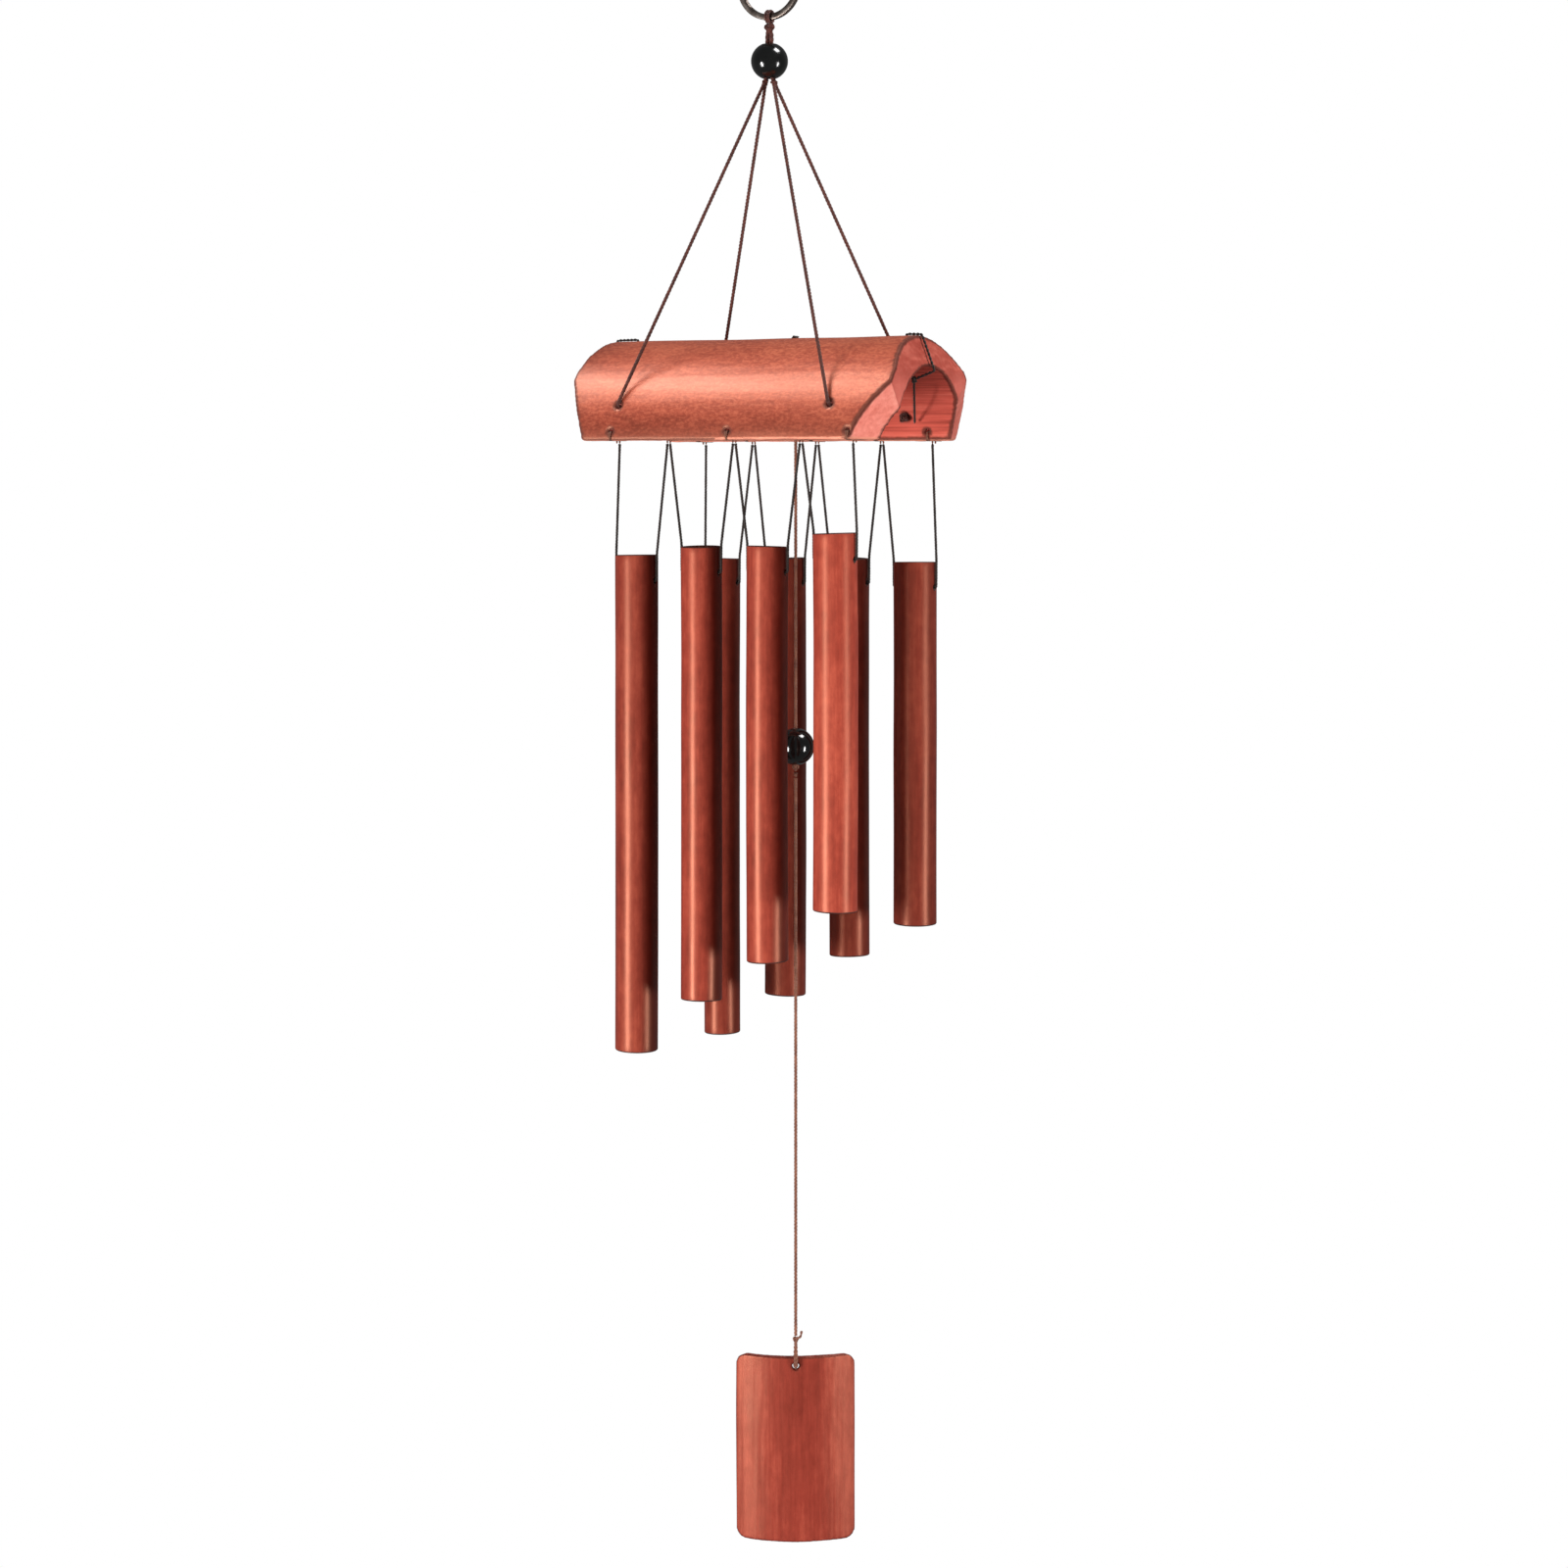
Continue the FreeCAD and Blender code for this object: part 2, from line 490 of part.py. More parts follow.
def sail():
    """Curved bamboo slip: an arc of culm padded along Z, corners rounded, one cord hole at the top."""
    body = new_body("sail_body")
    sketch = new_sketch(body, "XY_Plane", "sail_section")
    outer, wall, width = size("culm_radius"), size("sail_wall"), size("sail_width")
    swing = math.asin(width / 2 / outer)
    arcs = [-math.pi / 2 - swing, -math.pi / 2 + swing]
    for radius in (outer, outer - wall):
        circle = Part.Circle(Vector(0, outer - wall / 2), Vector(0, 0, 1), radius)
        sketch.addGeometry(Part.ArcOfCircle(circle, *arcs), False)
    centre = Vector(0, outer - wall / 2)
    for angle in arcs:
        ray = Vector(math.cos(angle), math.sin(angle))
        sketch.addGeometry(Part.LineSegment(centre + ray * outer, centre + ray * (outer - wall)), False)
    for edge, end in ((2, 1), (3, 2)):
        sketch.addConstraint(Sketcher.Constraint("Coincident", 0, end, edge, 1))
        sketch.addConstraint(Sketcher.Constraint("Coincident", 1, end, edge, 2))
    sketch.addConstraint(Sketcher.Constraint("Coincident", 0, 3, 1, 3))
    sketch.addConstraint(Sketcher.Constraint("PointOnObject", 0, 3, -2))
    sketch.addConstraint(Sketcher.Constraint("Symmetric", 0, 1, 0, 2, -2))
    bind(sketch, Sketcher.Constraint("Radius", 0, outer), "sizes.culm_radius")
    bind(sketch, Sketcher.Constraint("Radius", 1, outer - wall), "sizes.culm_radius - sizes.sail_wall")
    bind(sketch, Sketcher.Constraint("DistanceX", 0, 1, 0, 2, width), "sizes.sail_width")
    bind(sketch, Sketcher.Constraint("DistanceY", -1, 1, 0, 3, outer - wall / 2),
         "sizes.culm_radius - sizes.sail_wall / 2")
    pad(body, sketch, "sizes.sail_height")
    doc.recompute()
    height = size("sail_height")
    corners = []
    for place_in_list, edge in enumerate(body.Shape.Edges, 1):
        middle = edge.CenterOfMass
        level = min(abs(middle.z), abs(middle.z - height)) < wall / 2
        if level and edge.Length < 2 * wall and abs(middle.x) > width / 3:
            corners.append(f"Edge{place_in_list}")
    rounded = body.newObject("PartDesign::Fillet", "sail_corners")
    rounded.Base = (rounded.BaseFeature, corners)
    rounded.setExpression("Radius", "sizes.sail_corner")
    doc.recompute()
    hole = new_sketch(body, "XZ_Plane", "sail_hole")
    hole_circle(hole, "sail_hole_radius", "sizes.sail_height - sizes.sail_hole_inset",
                height - size("sail_hole_inset"))
    cut = body.newObject("PartDesign::Pocket", "sail_hole_cut")
    cut.Profile = hole
    cut.Midplane = True
    cut.Length = 4 * wall
    place(body, (size("clapper_side"), 0, -size("sail_top_drop") - height), sail_facing())
    return keep(body, "wind_sail")


# ---------------------------------------------------------------- build, check and export
hanging_ring()
hanger_loop()
bead("top_bead", "top_bead_bore", 0, size("top_bead_drop"))
roof()
hanging_cord(-1, "hanging_cord_left")
hanging_cord(1, "hanging_cord_right")
end_tie(1, "end_tie_right")
end_tie(-1, "end_tie_left")
for row in TUBES:
    row_stitches(row)
    for number in range(1, len(TUBES[row]) + 1):
        tube(row, number)
        tube_cord(row, number)
clapper_parts()
bead("clapper_bead", "clapper_bore", size("clapper_side"), size("clapper_drop"))
sail_loop()
sail()
doc.recompute()

failed = [o.Label for o in doc.Objects if {"Invalid", "Error"} & set(o.State)]
if failed:
    raise RuntimeError("failed objects: " + ", ".join(failed))
for part in parts:
    if part.Shape.isNull() or not part.Shape.isValid() or not part.Shape.Solids:
        raise RuntimeError("bad shape: " + part.Label)

os.makedirs("parts", exist_ok=True)
for part in parts:
    part.Shape.exportStep(os.path.join("parts", part.Label + ".step"))
    solids = part.Shape.Solids
    print(part.Label, len(solids), "solid(s)", round(sum(s.Volume for s in solids), 1), "mm3")
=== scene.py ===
import math

import bmesh
import bpy
from mathutils import Matrix, Vector, kdtree, noise


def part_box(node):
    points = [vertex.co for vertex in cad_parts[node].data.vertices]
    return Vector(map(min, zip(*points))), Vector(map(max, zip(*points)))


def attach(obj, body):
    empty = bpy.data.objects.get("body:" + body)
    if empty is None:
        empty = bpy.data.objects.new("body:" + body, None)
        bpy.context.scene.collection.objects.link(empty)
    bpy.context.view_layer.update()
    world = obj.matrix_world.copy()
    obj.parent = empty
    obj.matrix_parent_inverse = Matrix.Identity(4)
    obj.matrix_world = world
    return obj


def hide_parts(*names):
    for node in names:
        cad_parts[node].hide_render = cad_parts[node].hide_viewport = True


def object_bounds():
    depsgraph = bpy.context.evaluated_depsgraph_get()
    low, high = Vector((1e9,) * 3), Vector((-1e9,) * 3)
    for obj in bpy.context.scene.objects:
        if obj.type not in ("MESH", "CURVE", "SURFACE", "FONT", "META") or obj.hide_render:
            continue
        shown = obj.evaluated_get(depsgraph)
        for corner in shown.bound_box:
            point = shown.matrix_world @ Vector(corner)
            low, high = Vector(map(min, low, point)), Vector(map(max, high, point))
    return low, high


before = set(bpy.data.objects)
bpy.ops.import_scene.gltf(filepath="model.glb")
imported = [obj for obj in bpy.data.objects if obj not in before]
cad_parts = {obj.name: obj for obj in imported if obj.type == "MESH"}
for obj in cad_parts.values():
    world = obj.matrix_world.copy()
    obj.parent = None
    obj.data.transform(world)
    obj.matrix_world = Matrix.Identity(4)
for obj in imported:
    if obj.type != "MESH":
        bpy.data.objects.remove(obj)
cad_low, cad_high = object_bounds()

# The looks of the bamboo wind chime. Metres, in the CAD frame: +Z up, +X along the roof, origin at the
# centre of the hanging ring. Places come from the CAD nodes' boxes, and thicknesses are named here.
MM = 0.001
X_AXIS, Y_AXIS, Z_AXIS = Vector((1, 0, 0)), Vector((0, 1, 0)), Vector((0, 0, 1))
ROW_SIGN = {"front": -1, "rear": 1}
TUBES_PER_ROW = 4

# ring and the loop of cord round it; the ring's angles are in radians
RING_WIRE = 3.0 * MM
RING_ROUND = 0.35 * MM
RING_TURN_FILL = 0.94
RING_STEP = 0.5
RING_END_GAP = 0.08
RING_START = 2.1
LOOP_CORD = 0.8 * MM
LOOP_BEND = 2.9 * MM
LOOP_KNOT_DROP = 2.3 * MM
NECK_CORD = 1.15 * MM
# beads
TOP_BEAD_BORE = 3.1 * MM
CLAPPER_BORE = 1.6 * MM
BEAD_LIP = 0.45 * MM
# roof and stitches
ROOF_VOXEL = 0.86 * MM
CULM_WALL = 15 * MM
STITCH_CORD = 0.6 * MM
STITCH_PLY = 0.7 * STITCH_CORD
STITCH_END = 0.45 * MM
STITCH_TURN_GAP = 0.45 * MM
STITCH_RISE = 4.5 * MM
HANG_HOLE_SIDE = 58 * MM
HANG_HOLE_RISE = 17 * MM
END_HOLE_SIDE = 75 * MM
END_TRIM_RIGHT = 6.5 * MM
END_TRIM_LEFT = 2.5 * MM
# cords; the lay is the length of one twist, in radii of the cord
CORD_LAY = 6.0
STEPS_PER_TURN = 10
PLY_SIDES = 6
HANG_CORD = 0.85 * 1.1 * MM
HANG_KNOT_SIDE = 2.5 * MM
HANG_KNOT_DROP = 1.9 * MM
STOPPER_REACH = 2.4 * MM
TUBE_CORD = 0.55 * MM
TUBE_TWIST = 1.25 * TUBE_CORD       # the plies stand a little proud of the CAD cord
CORD_PAIR_GAP = 0.8 * MM
STRING = 0.85 * MM
SAIL_CORD = 0.69 * MM
END_CORD = 0.7 * MM
END_KNOT_SIDE = 4 * MM
END_KNOT_SINK = 6 * MM
# knots: how far each reaches from its middle, and the radius of the cord it is tied in
LOOP_KNOT = 2.9 * MM, 1.1 * MM
HANG_KNOT = 2.1 * MM, 0.8 * MM
STOPPER_KNOT = 2.8 * MM, 0.85 * MM
END_KNOT = 2.0 * MM, END_CORD
STITCH_KNOT = 0.85 * MM, 0.4 * MM
RIDGE_KNOT = 2.1 * MM, 0.6 * MM
TIE_KNOT = 1.7 * MM, 0.65 * MM
STOP_KNOT = 1.9 * MM, 0.7 * MM
HITCH_KNOT = 1.35 * MM, 0.55 * MM
SAIL_TOP_KNOT = 1.1 * MM, 0.5 * MM
SAIL_EYE_KNOT = 1.8 * MM, 0.72 * MM
# tubes
TUBE_WALL = 2.3 * MM
TUBE_HOLE_DROP = 12.5 * MM
TUBE_HOLE = 1.2 * MM
TUBE_HOLE_FLARE = 0.35 * MM
TUBE_EASE = 0.7 * MM
TUBE_ROWS = 90
# sail
SAIL_HOLE_INSET = 4.4 * MM
SAIL_WALL = 4 * MM
SAIL_VOXEL = 0.55 * MM
SAIL_TURN = math.radians(29)
SAIL_KNOT_DROP = 1.9 * MM
SAIL_EYE_SHOULDER = 4 * MM
SAIL_EYE_REACH = 1.4 * MM

roof_low, roof_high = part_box("bamboo_roof")
SPLIT_Z = roof_low.z
RIDGE_Z = roof_high.z
CULM_RADIUS = roof_high.z - roof_low.z
INNER_RADIUS = CULM_RADIUS - CULM_WALL


# ---------------------------------------------------------------- materials
def srgb(red, green, blue):
    """A display colour, 0 to 255, as the linear colour that shaders use."""
    linear = [((v / 255 + 0.055) / 1.055) ** 2.4 if v > 10 else v / 3295 for v in (red, green, blue)]
    return (*linear, 1)


class Shader:
    """A material's node tree, with a short call for each kind of node used here."""

    def __init__(self, name):
        self.material = bpy.data.materials.new(name)
        self.material.use_nodes = True
        self.tree = self.material.node_tree
        self.surface = next(n for n in self.tree.nodes if n.type == "BSDF_PRINCIPLED")
        self.coords = self.add("ShaderNodeTexCoord")

    def add(self, kind, inputs=None, **settings):
        """A node of a kind, with its inputs set or linked by name or number."""
        node = self.tree.nodes.new(kind)
        for key, value in settings.items():
            setattr(node, key, value)
        for key, value in (inputs or {}).items():
            self.plug(value, node.inputs[key])
        return node

    def plug(self, value, socket):
        if isinstance(value, bpy.types.NodeSocket):
            self.tree.links.new(value, socket)
        else:
            socket.default_value = value

    def set(self, **inputs):
        """Set the surface's inputs; Coat_Weight stands for the input "Coat Weight"."""
        for key, value in inputs.items():
            self.plug(value, self.surface.inputs[key.replace("_", " ")])

    def place(self, stretch=(1, 1, 1), shift=(0, 0, 0)):
        """The object's own coordinates, drawn out and moved."""
        node = self.add("ShaderNodeMapping", {"Vector": self.coords.outputs["Object"],
                                              "Scale": stretch, "Location": shift})
        return node.outputs[0]

    def noise(self, vector, scale, detail=3, rough=0.55):
        node = self.add("ShaderNodeTexNoise", {"Vector": vector, "Scale": scale, "Detail": detail,
                                               "Roughness": rough})
        return node.outputs["Fac"]

    def ramp(self, factor, stops):
        """A colour ramp of (place, colour) stops."""
        node = self.add("ShaderNodeValToRGB", {"Fac": factor})
        elements = node.color_ramp.elements
        while len(elements) < len(stops):
            elements.new(0.5)
        for element, (place, colour) in zip(elements, stops):
            element.position = place
            element.color = colour
        return node.outputs["Color"]

    def mix(self, factor, first, second, blend="MIX"):
        node = self.add("ShaderNodeMix", {0: factor, 6: first, 7: second},
                        data_type="RGBA", blend_type=blend)
        return node.outputs[2]

    def tinting(self, amount, colour, tint):
        """The colour darkened by a tint, by an amount from 0 to 1."""
        return self.mix(amount, colour, self.mix(1.0, colour, tint, "MULTIPLY"))

    def vector(self, operation, first, second=(0, 0, 0)):
        node = self.add("ShaderNodeVectorMath", {0: first, 1: second}, operation=operation)
        return node.outputs["Value" if operation in ("DOT_PRODUCT", "LENGTH") else "Vector"]

    def component(self, vector, axis):
        return self.add("ShaderNodeSeparateXYZ", {0: vector}).outputs[axis]

    def calc(self, operation, first, second=0.0, third=0.0):
        node = self.add("ShaderNodeMath", {0: first, 1: second, 2: third}, operation=operation)
        return node.outputs[0]

    def span(self, value, start, end, low=0.0, high=1.0):
        """Map start..end to low..high with a smooth step, clamped."""
        node = self.add("ShaderNodeMapRange", {"Value": value, "From Min": start, "From Max": end,
                                               "To Min": low, "To Max": high},
                        interpolation_type="SMOOTHSTEP")
        return node.outputs[0]

    def weighted(self, *pairs):
        """Sum of (value, weight) pairs."""
        total = 0.0
        for value, weight in pairs:
            total = self.calc("MULTIPLY_ADD", value, weight, total)
        return total

    def bump(self, height, distance, strength=1.0, normal=None):
        node = self.add("ShaderNodeBump", {"Height": height, "Distance": distance, "Strength": strength})
        if normal is not None:
            self.plug(normal, node.inputs["Normal"])
        return node.outputs[0]


def along(axis, amount):
    """Stretch factors that draw noise out along one axis."""
    return tuple(amount if i == axis else 1 for i in range(3))


def grain(shader, axis, dark, middle, light, drawn=1.0):
    """Varnished bamboo skin of fibres, streaks and clouds, more streaky the nearer drawn is to 1."""
    fibres = shader.noise(shader.place(along(axis, 0.12 - 0.09 * drawn)), 900, 4, 0.6)
    streaks = shader.noise(shader.place(along(axis, 0.3 - 0.22 * drawn), (0.31, 0.17, 0.53)), 170, 3)
    clouds = shader.noise(shader.place(along(axis, 0.45)), 34, 5, 0.6)
    mottle = shader.noise(shader.place(along(axis, 0.6), (0.4, 0.1, 0.2)), 260, 4, 0.65)
    tone = shader.weighted((fibres, 0.1 + 0.12 * drawn), (streaks, 0.1 + 0.2 * drawn), (clouds, 0.3),
                           (mottle, 0.5 - 0.32 * drawn))
    colour = shader.ramp(tone, [(0.34, dark), (0.5, middle), (0.66, light)])
    pores = shader.noise(shader.place(along(axis, 0.09), (0.7, 0.2, 0.4)), 1500, 2, 0.5)
    specks = shader.span(pores, 0.66, 0.76)
    colour = shader.mix(shader.calc("MULTIPLY", specks, 0.3), colour, dark)
    return colour, fibres, clouds


def edge_wear(shader, colour, worn, start=0.53, end=0.6, amount=0.6, ragged=0.06):
    """Rubbed or stained edges, found from the mesh's own sharpness and broken up by noise."""
    pointed = shader.add("ShaderNodeNewGeometry").outputs["Pointiness"]
    uneven = shader.noise(shader.place(), 420, 3)
    edge = shader.weighted((pointed, 1.0), (uneven, ragged))
    mask = shader.span(edge, start + ragged / 2, end + ragged / 2)
    return shader.mix(shader.calc("MULTIPLY", mask, amount), colour, worn)


LACQUER = srgb(255, 172, 138)       # the warm tint of the gloss on stained bamboo
PAINTED_SHADE_SIDE = (0.92, 0.39, 0)         # the side of a tube, towards the next tube along the row, where shade is painted


def tube_skin():
    """Red-brown varnish; a tube's brightness is its object colour, and the painted shade on its side
    towards the next tube the alpha.
    """
    shader = Shader("tube_skin")
    tones = srgb(106, 37, 29), srgb(143, 55, 42), srgb(174, 77, 58)
    colour, fibres, clouds = grain(shader, 2, *tones, drawn=0.7)
    own = shader.add("ShaderNodeObjectInfo")
    colour = shader.mix(1.0, colour, own.outputs["Color"], "MULTIPLY")
    # painted shade: darker on the side towards the next tube, by the amount in the object's alpha
    facing = shader.vector("DOT_PRODUCT", shader.coords.outputs["Normal"], PAINTED_SHADE_SIDE)
    painted_shade = shader.span(shader.weighted((facing, 1.0), (clouds, 0.3)), 0.35, 0.95)
    painted_shade = shader.calc("MULTIPLY", painted_shade, own.outputs["Alpha"])
    colour = shader.tinting(painted_shade, colour, srgb(120, 104, 112))
    colour = edge_wear(shader, colour, srgb(90, 34, 24), amount=0.7)
    rough = shader.weighted((fibres, 0.1), (clouds, 0.16), (1.0, 0.24))
    relief = shader.bump(fibres, 0.05 * MM, 0.35)
    relief = shader.bump(clouds, 0.6 * MM, 0.25, relief)
    shader.set(Base_Color=colour, Roughness=rough, Normal=relief, Specular_IOR_Level=0.8,
               Specular_Tint=LACQUER)
    return shader.material


def tube_end():
    """Stained end grain on the tubes' rims, darker than the skin, with pale vascular dots."""
    shader = Shader("tube_end")
    dots = shader.add("ShaderNodeTexVoronoi", {"Vector": shader.place(along(2, 0.1)), "Scale": 1300})
    pale = shader.span(dots.outputs["Distance"], 0.38, 0.2)
    tinting = shader.noise(shader.place(), 160, 4)
    base = shader.ramp(tinting, [(0.35, srgb(48, 20, 16)), (0.65, srgb(84, 38, 28))])
    colour = shader.mix(shader.calc("MULTIPLY", pale, 0.3), base, srgb(138, 78, 56))
    shader.set(Base_Color=colour, Roughness=0.62, Normal=shader.bump(tinting, 0.3 * MM, 0.5))
    return shader.material


def tube_bore():
    """Unvarnished inside wall of a tube."""
    shader = Shader("tube_bore")
    fibres = shader.noise(shader.place(along(2, 0.03)), 800, 4)
    blotch = shader.noise(shader.place(along(2, 0.4)), 60, 4)
    tone = shader.weighted((fibres, 0.5), (blotch, 0.5))
    colour = shader.ramp(tone, [(0.35, srgb(96, 52, 36)), (0.65, srgb(158, 98, 66))])
    shader.set(Base_Color=colour, Roughness=0.75, Normal=shader.bump(fibres, 0.2 * MM, 0.6))
    return shader.material


def culm_skin(shader, sideways, height, grit):
    """Copper-toned and gritty, with painted shade towards the ridge and low down, and darker at the left
    end.
    """
    tones = srgb(128, 50, 37), srgb(156, 68, 50), srgb(184, 92, 68)
    skin, fibres, clouds = grain(shader, 0, *tones, drawn=0.1)
    level = shader.weighted((height, 1.0), (clouds, 9 * MM), (grit, 5 * MM))
    leftward = shader.weighted((sideways, 1.0), (clouds, 12 * MM))
    # painted shade towards the ridge
    skin = shader.tinting(shader.span(level, 38 * MM, 56 * MM), skin, srgb(232, 240, 232))
    skin = shader.mix(shader.span(grit, 0.42, 0.7, 0.0, 0.35), skin, srgb(200, 114, 84))
    skin = shader.mix(shader.span(grit, 0.56, 0.34, 0.0, 0.35), skin, srgb(110, 44, 34))
    # painted shade low down, near the split edge
    skin = shader.tinting(shader.span(level, 26 * MM, 7 * MM), skin, srgb(188, 164, 164))
    skin = shader.tinting(shader.span(leftward, -62 * MM, -84 * MM), skin, srgb(212, 204, 204))
    return skin, fibres, clouds, level


def culm_cut(shader, level, rim):
    """Cut faces: pale pink, darker on the sawn ends and towards the ridge, with a dark outer rim."""
    fibres = shader.noise(shader.place((0.25, 1, 1)), 520, 4, 0.6)
    blotch = shader.noise(shader.place(), 70, 4)
    tone = shader.weighted((fibres, 0.5), (blotch, 0.5))
    cut = shader.ramp(tone, [(0.32, srgb(226, 118, 102)), (0.5, srgb(246, 144, 128)),
                             (0.68, srgb(254, 168, 150))])
    endwise = shader.calc("ABSOLUTE", shader.component(shader.coords.outputs["Normal"], "X"))
    cut = shader.mix(shader.span(endwise, 0.86, 0.97, 0.0, 0.75), cut,
                     shader.mix(blotch, srgb(150, 60, 52), srgb(208, 98, 85)))
    cut = shader.tinting(shader.span(level, 31 * MM, 45 * MM), cut, srgb(212, 190, 184))
    return shader.mix(shader.calc("MULTIPLY", rim, 0.8), cut, srgb(92, 42, 34)), fibres


def culm_inside(shader):
    """The inside wall: red fibres drawn out along the culm."""
    fibres = shader.noise(shader.place(along(0, 0.03), (0.1, 0.6, 0.2)), 330, 5, 0.62)
    blotch = shader.noise(shader.place(along(0, 0.3)), 45, 4)
    tone = shader.weighted((fibres, 0.6), (blotch, 0.4))
    inner = shader.ramp(tone, [(0.34, srgb(140, 50, 42)), (0.5, srgb(212, 92, 78)),
                               (0.68, srgb(240, 130, 110))])
    return inner, fibres


EDGE_REACH = "edge_reach"           # the roof mesh's own record of how far each point is from a cut edge


def culm_material():
    """The roof: its skin, cut faces and inside, told apart by radius and facing, with charred edges."""
    shader = Shader("culm")
    centred = shader.vector("ADD", shader.coords.outputs["Object"], (0, 0, -SPLIT_Z))
    sideways, height = shader.component(centred, "X"), shader.component(centred, "Z")
    flat = shader.vector("MULTIPLY", centred, (0, 1, 1))
    normal = shader.coords.outputs["Normal"]
    facing = shader.vector("DOT_PRODUCT", shader.vector("NORMALIZE", flat), normal)
    grit = shader.noise(shader.place((0.6, 1, 1), (0.3, 0.3, 0.1)), 800, 3, 0.7)
    ragged = shader.noise(shader.place(), 300, 3)
    radius = shader.weighted((shader.vector("LENGTH", flat), 1.0), (ragged, 1.2 * MM))
    on_skin = shader.calc("MULTIPLY", shader.span(facing, 0.72, 0.9),
                          shader.span(radius, CULM_RADIUS - 1.6 * MM, CULM_RADIUS - 0.8 * MM))
    rim = shader.span(radius, CULM_RADIUS - 1.4 * MM, CULM_RADIUS - 0.4 * MM)
    inside = shader.calc("MULTIPLY", shader.span(facing, -0.6, -0.85),
                         shader.span(radius, INNER_RADIUS + 2.4 * MM, INNER_RADIUS + 1.4 * MM))

    skin, fibres, clouds, level = culm_skin(shader, sideways, height, grit)
    cut, cut_fibres = culm_cut(shader, level, rim)
    inner, inner_fibres = culm_inside(shader)
    colour = shader.mix(on_skin, shader.mix(inside, cut, inner), skin)
    # pale band along the split edge: the paler sawn face, and a painted highlight on the eased edge of the
    # skin above it
    edge_band = shader.span(shader.weighted((height, 1.0), (ragged, 0.8 * MM)), 1.9 * MM, 1.1 * MM)
    colour = shader.mix(shader.calc("MULTIPLY", edge_band, 0.85), colour, srgb(246, 158, 132))
    reach = shader.add("ShaderNodeAttribute", attribute_name=EDGE_REACH).outputs["Fac"]
    scorch = shader.weighted((reach, 1.0), (ragged, 1.4 * MM), (grit, 0.8 * MM))
    charred = shader.span(scorch, 3.2 * MM, 1.9 * MM)
    colour = shader.mix(shader.calc("MULTIPLY", charred, 0.85), colour, srgb(84, 44, 38))

    dull = shader.calc("SUBTRACT", 1.0, on_skin)
    rough = shader.weighted((on_skin, -0.2), (clouds, 0.16), (fibres, 0.1), (1.0, 0.48))
    relief = shader.bump(shader.calc("MULTIPLY", cut_fibres, dull), 0.35 * MM, 0.7)
    relief = shader.bump(shader.calc("MULTIPLY", inner_fibres, inside), 0.5 * MM, 0.7, relief)
    relief = shader.bump(shader.calc("MULTIPLY", fibres, on_skin), 0.08 * MM, 0.4, relief)
    relief = shader.bump(clouds, 0.8 * MM, 0.3, relief)
    shader.set(Base_Color=colour, Roughness=rough, Normal=relief, Specular_Tint=LACQUER,
               Specular_IOR_Level=shader.span(on_skin, 0, 1, 0.3, 1.0))
    return shader.material


def slip_material():
    """The sail: the same stain as the tubes, mottled, with rubbed edges."""
    shader = Shader("slip")
    tones = srgb(116, 41, 32), srgb(150, 57, 45), srgb(184, 82, 64)
    colour, fibres, _ = grain(shader, 2, *tones, drawn=0.85)
    mottle = shader.noise(shader.place((1, 1, 0.6), (0.4, 0.1, 0.2)), 120, 5, 0.65)
    colour = shader.mix(shader.span(mottle, 0.5, 0.68, 0.0, 0.3), colour, srgb(132, 46, 36))
    colour = edge_wear(shader, colour, srgb(84, 32, 26), start=0.505, end=0.545, amount=0.85, ragged=0.03)
    rough = shader.weighted((fibres, 0.15), (mottle, 0.2), (1.0, 0.22))
    relief = shader.bump(fibres, 0.1 * MM, 0.4)
    relief = shader.bump(mottle, 0.4 * MM, 0.35, relief)
    shader.set(Base_Color=colour, Roughness=rough, Normal=relief, Specular_IOR_Level=0.8,
               Specular_Tint=LACQUER)
    return shader.material


def cord_material(name, dark, light):
    """Waxed twisted cord: fine fibre relief and uneven dye over the modelled plies."""
    shader = Shader(name)
    fibres = shader.noise(shader.place((1, 1, 0.35)), 5200, 3, 0.6)
    dye = shader.noise(shader.place(), 240, 4)
    tone = shader.weighted((fibres, 0.45), (dye, 0.55))
    colour = shader.ramp(tone, [(0.34, dark), (0.66, light)])
    shader.set(Base_Color=colour, Roughness=shader.span(fibres, 0.3, 0.7, 0.55, 0.8),
               Normal=shader.bump(fibres, 0.12 * MM, 0.6), Sheen_Weight=0.25, Sheen_Roughness=0.4)
    return shader.material


def bead_material():
    """Black gloss with the faint haze and hairline scratches of handling."""
    shader = Shader("bead_gloss")
    haze = shader.noise(shader.place(), 210, 4)
    hairs = shader.noise(shader.place((1, 0.12, 0.6), (0.2, 0.5, 0.1)), 2600, 2)
    colour = shader.ramp(haze, [(0.3, srgb(7, 8, 8)), (0.7, srgb(16, 17, 16))])
    rough = shader.span(haze, 0.3, 0.75, 0.1, 0.2)
    relief = shader.bump(shader.span(hairs, 0.62, 0.7), 0.01 * MM, 0.3)
    shader.set(Base_Color=colour, Roughness=rough, Normal=relief, Coat_Weight=0.3, Coat_Roughness=0.12)
    return shader.material


def steel_material():
    """Grey nickelled wire, drawn along its length and rubbed bright on its edges."""
    shader = Shader("ring_steel")
    drawn = shader.noise(shader.place((1, 14, 1)), 900, 3)
    smear = shader.noise(shader.place(), 130, 4)
    colour = shader.ramp(smear, [(0.3, srgb(104, 92, 84)), (0.7, srgb(158, 146, 138))])
    colour = edge_wear(shader, colour, srgb(196, 186, 178), amount=0.5)
    rough = shader.weighted((drawn, 0.12), (smear, 0.2), (1.0, 0.1))
    shader.set(Base_Color=colour, Metallic=1.0, Roughness=rough, Normal=shader.bump(drawn, 0.03 * MM, 0.3))
    return shader.material


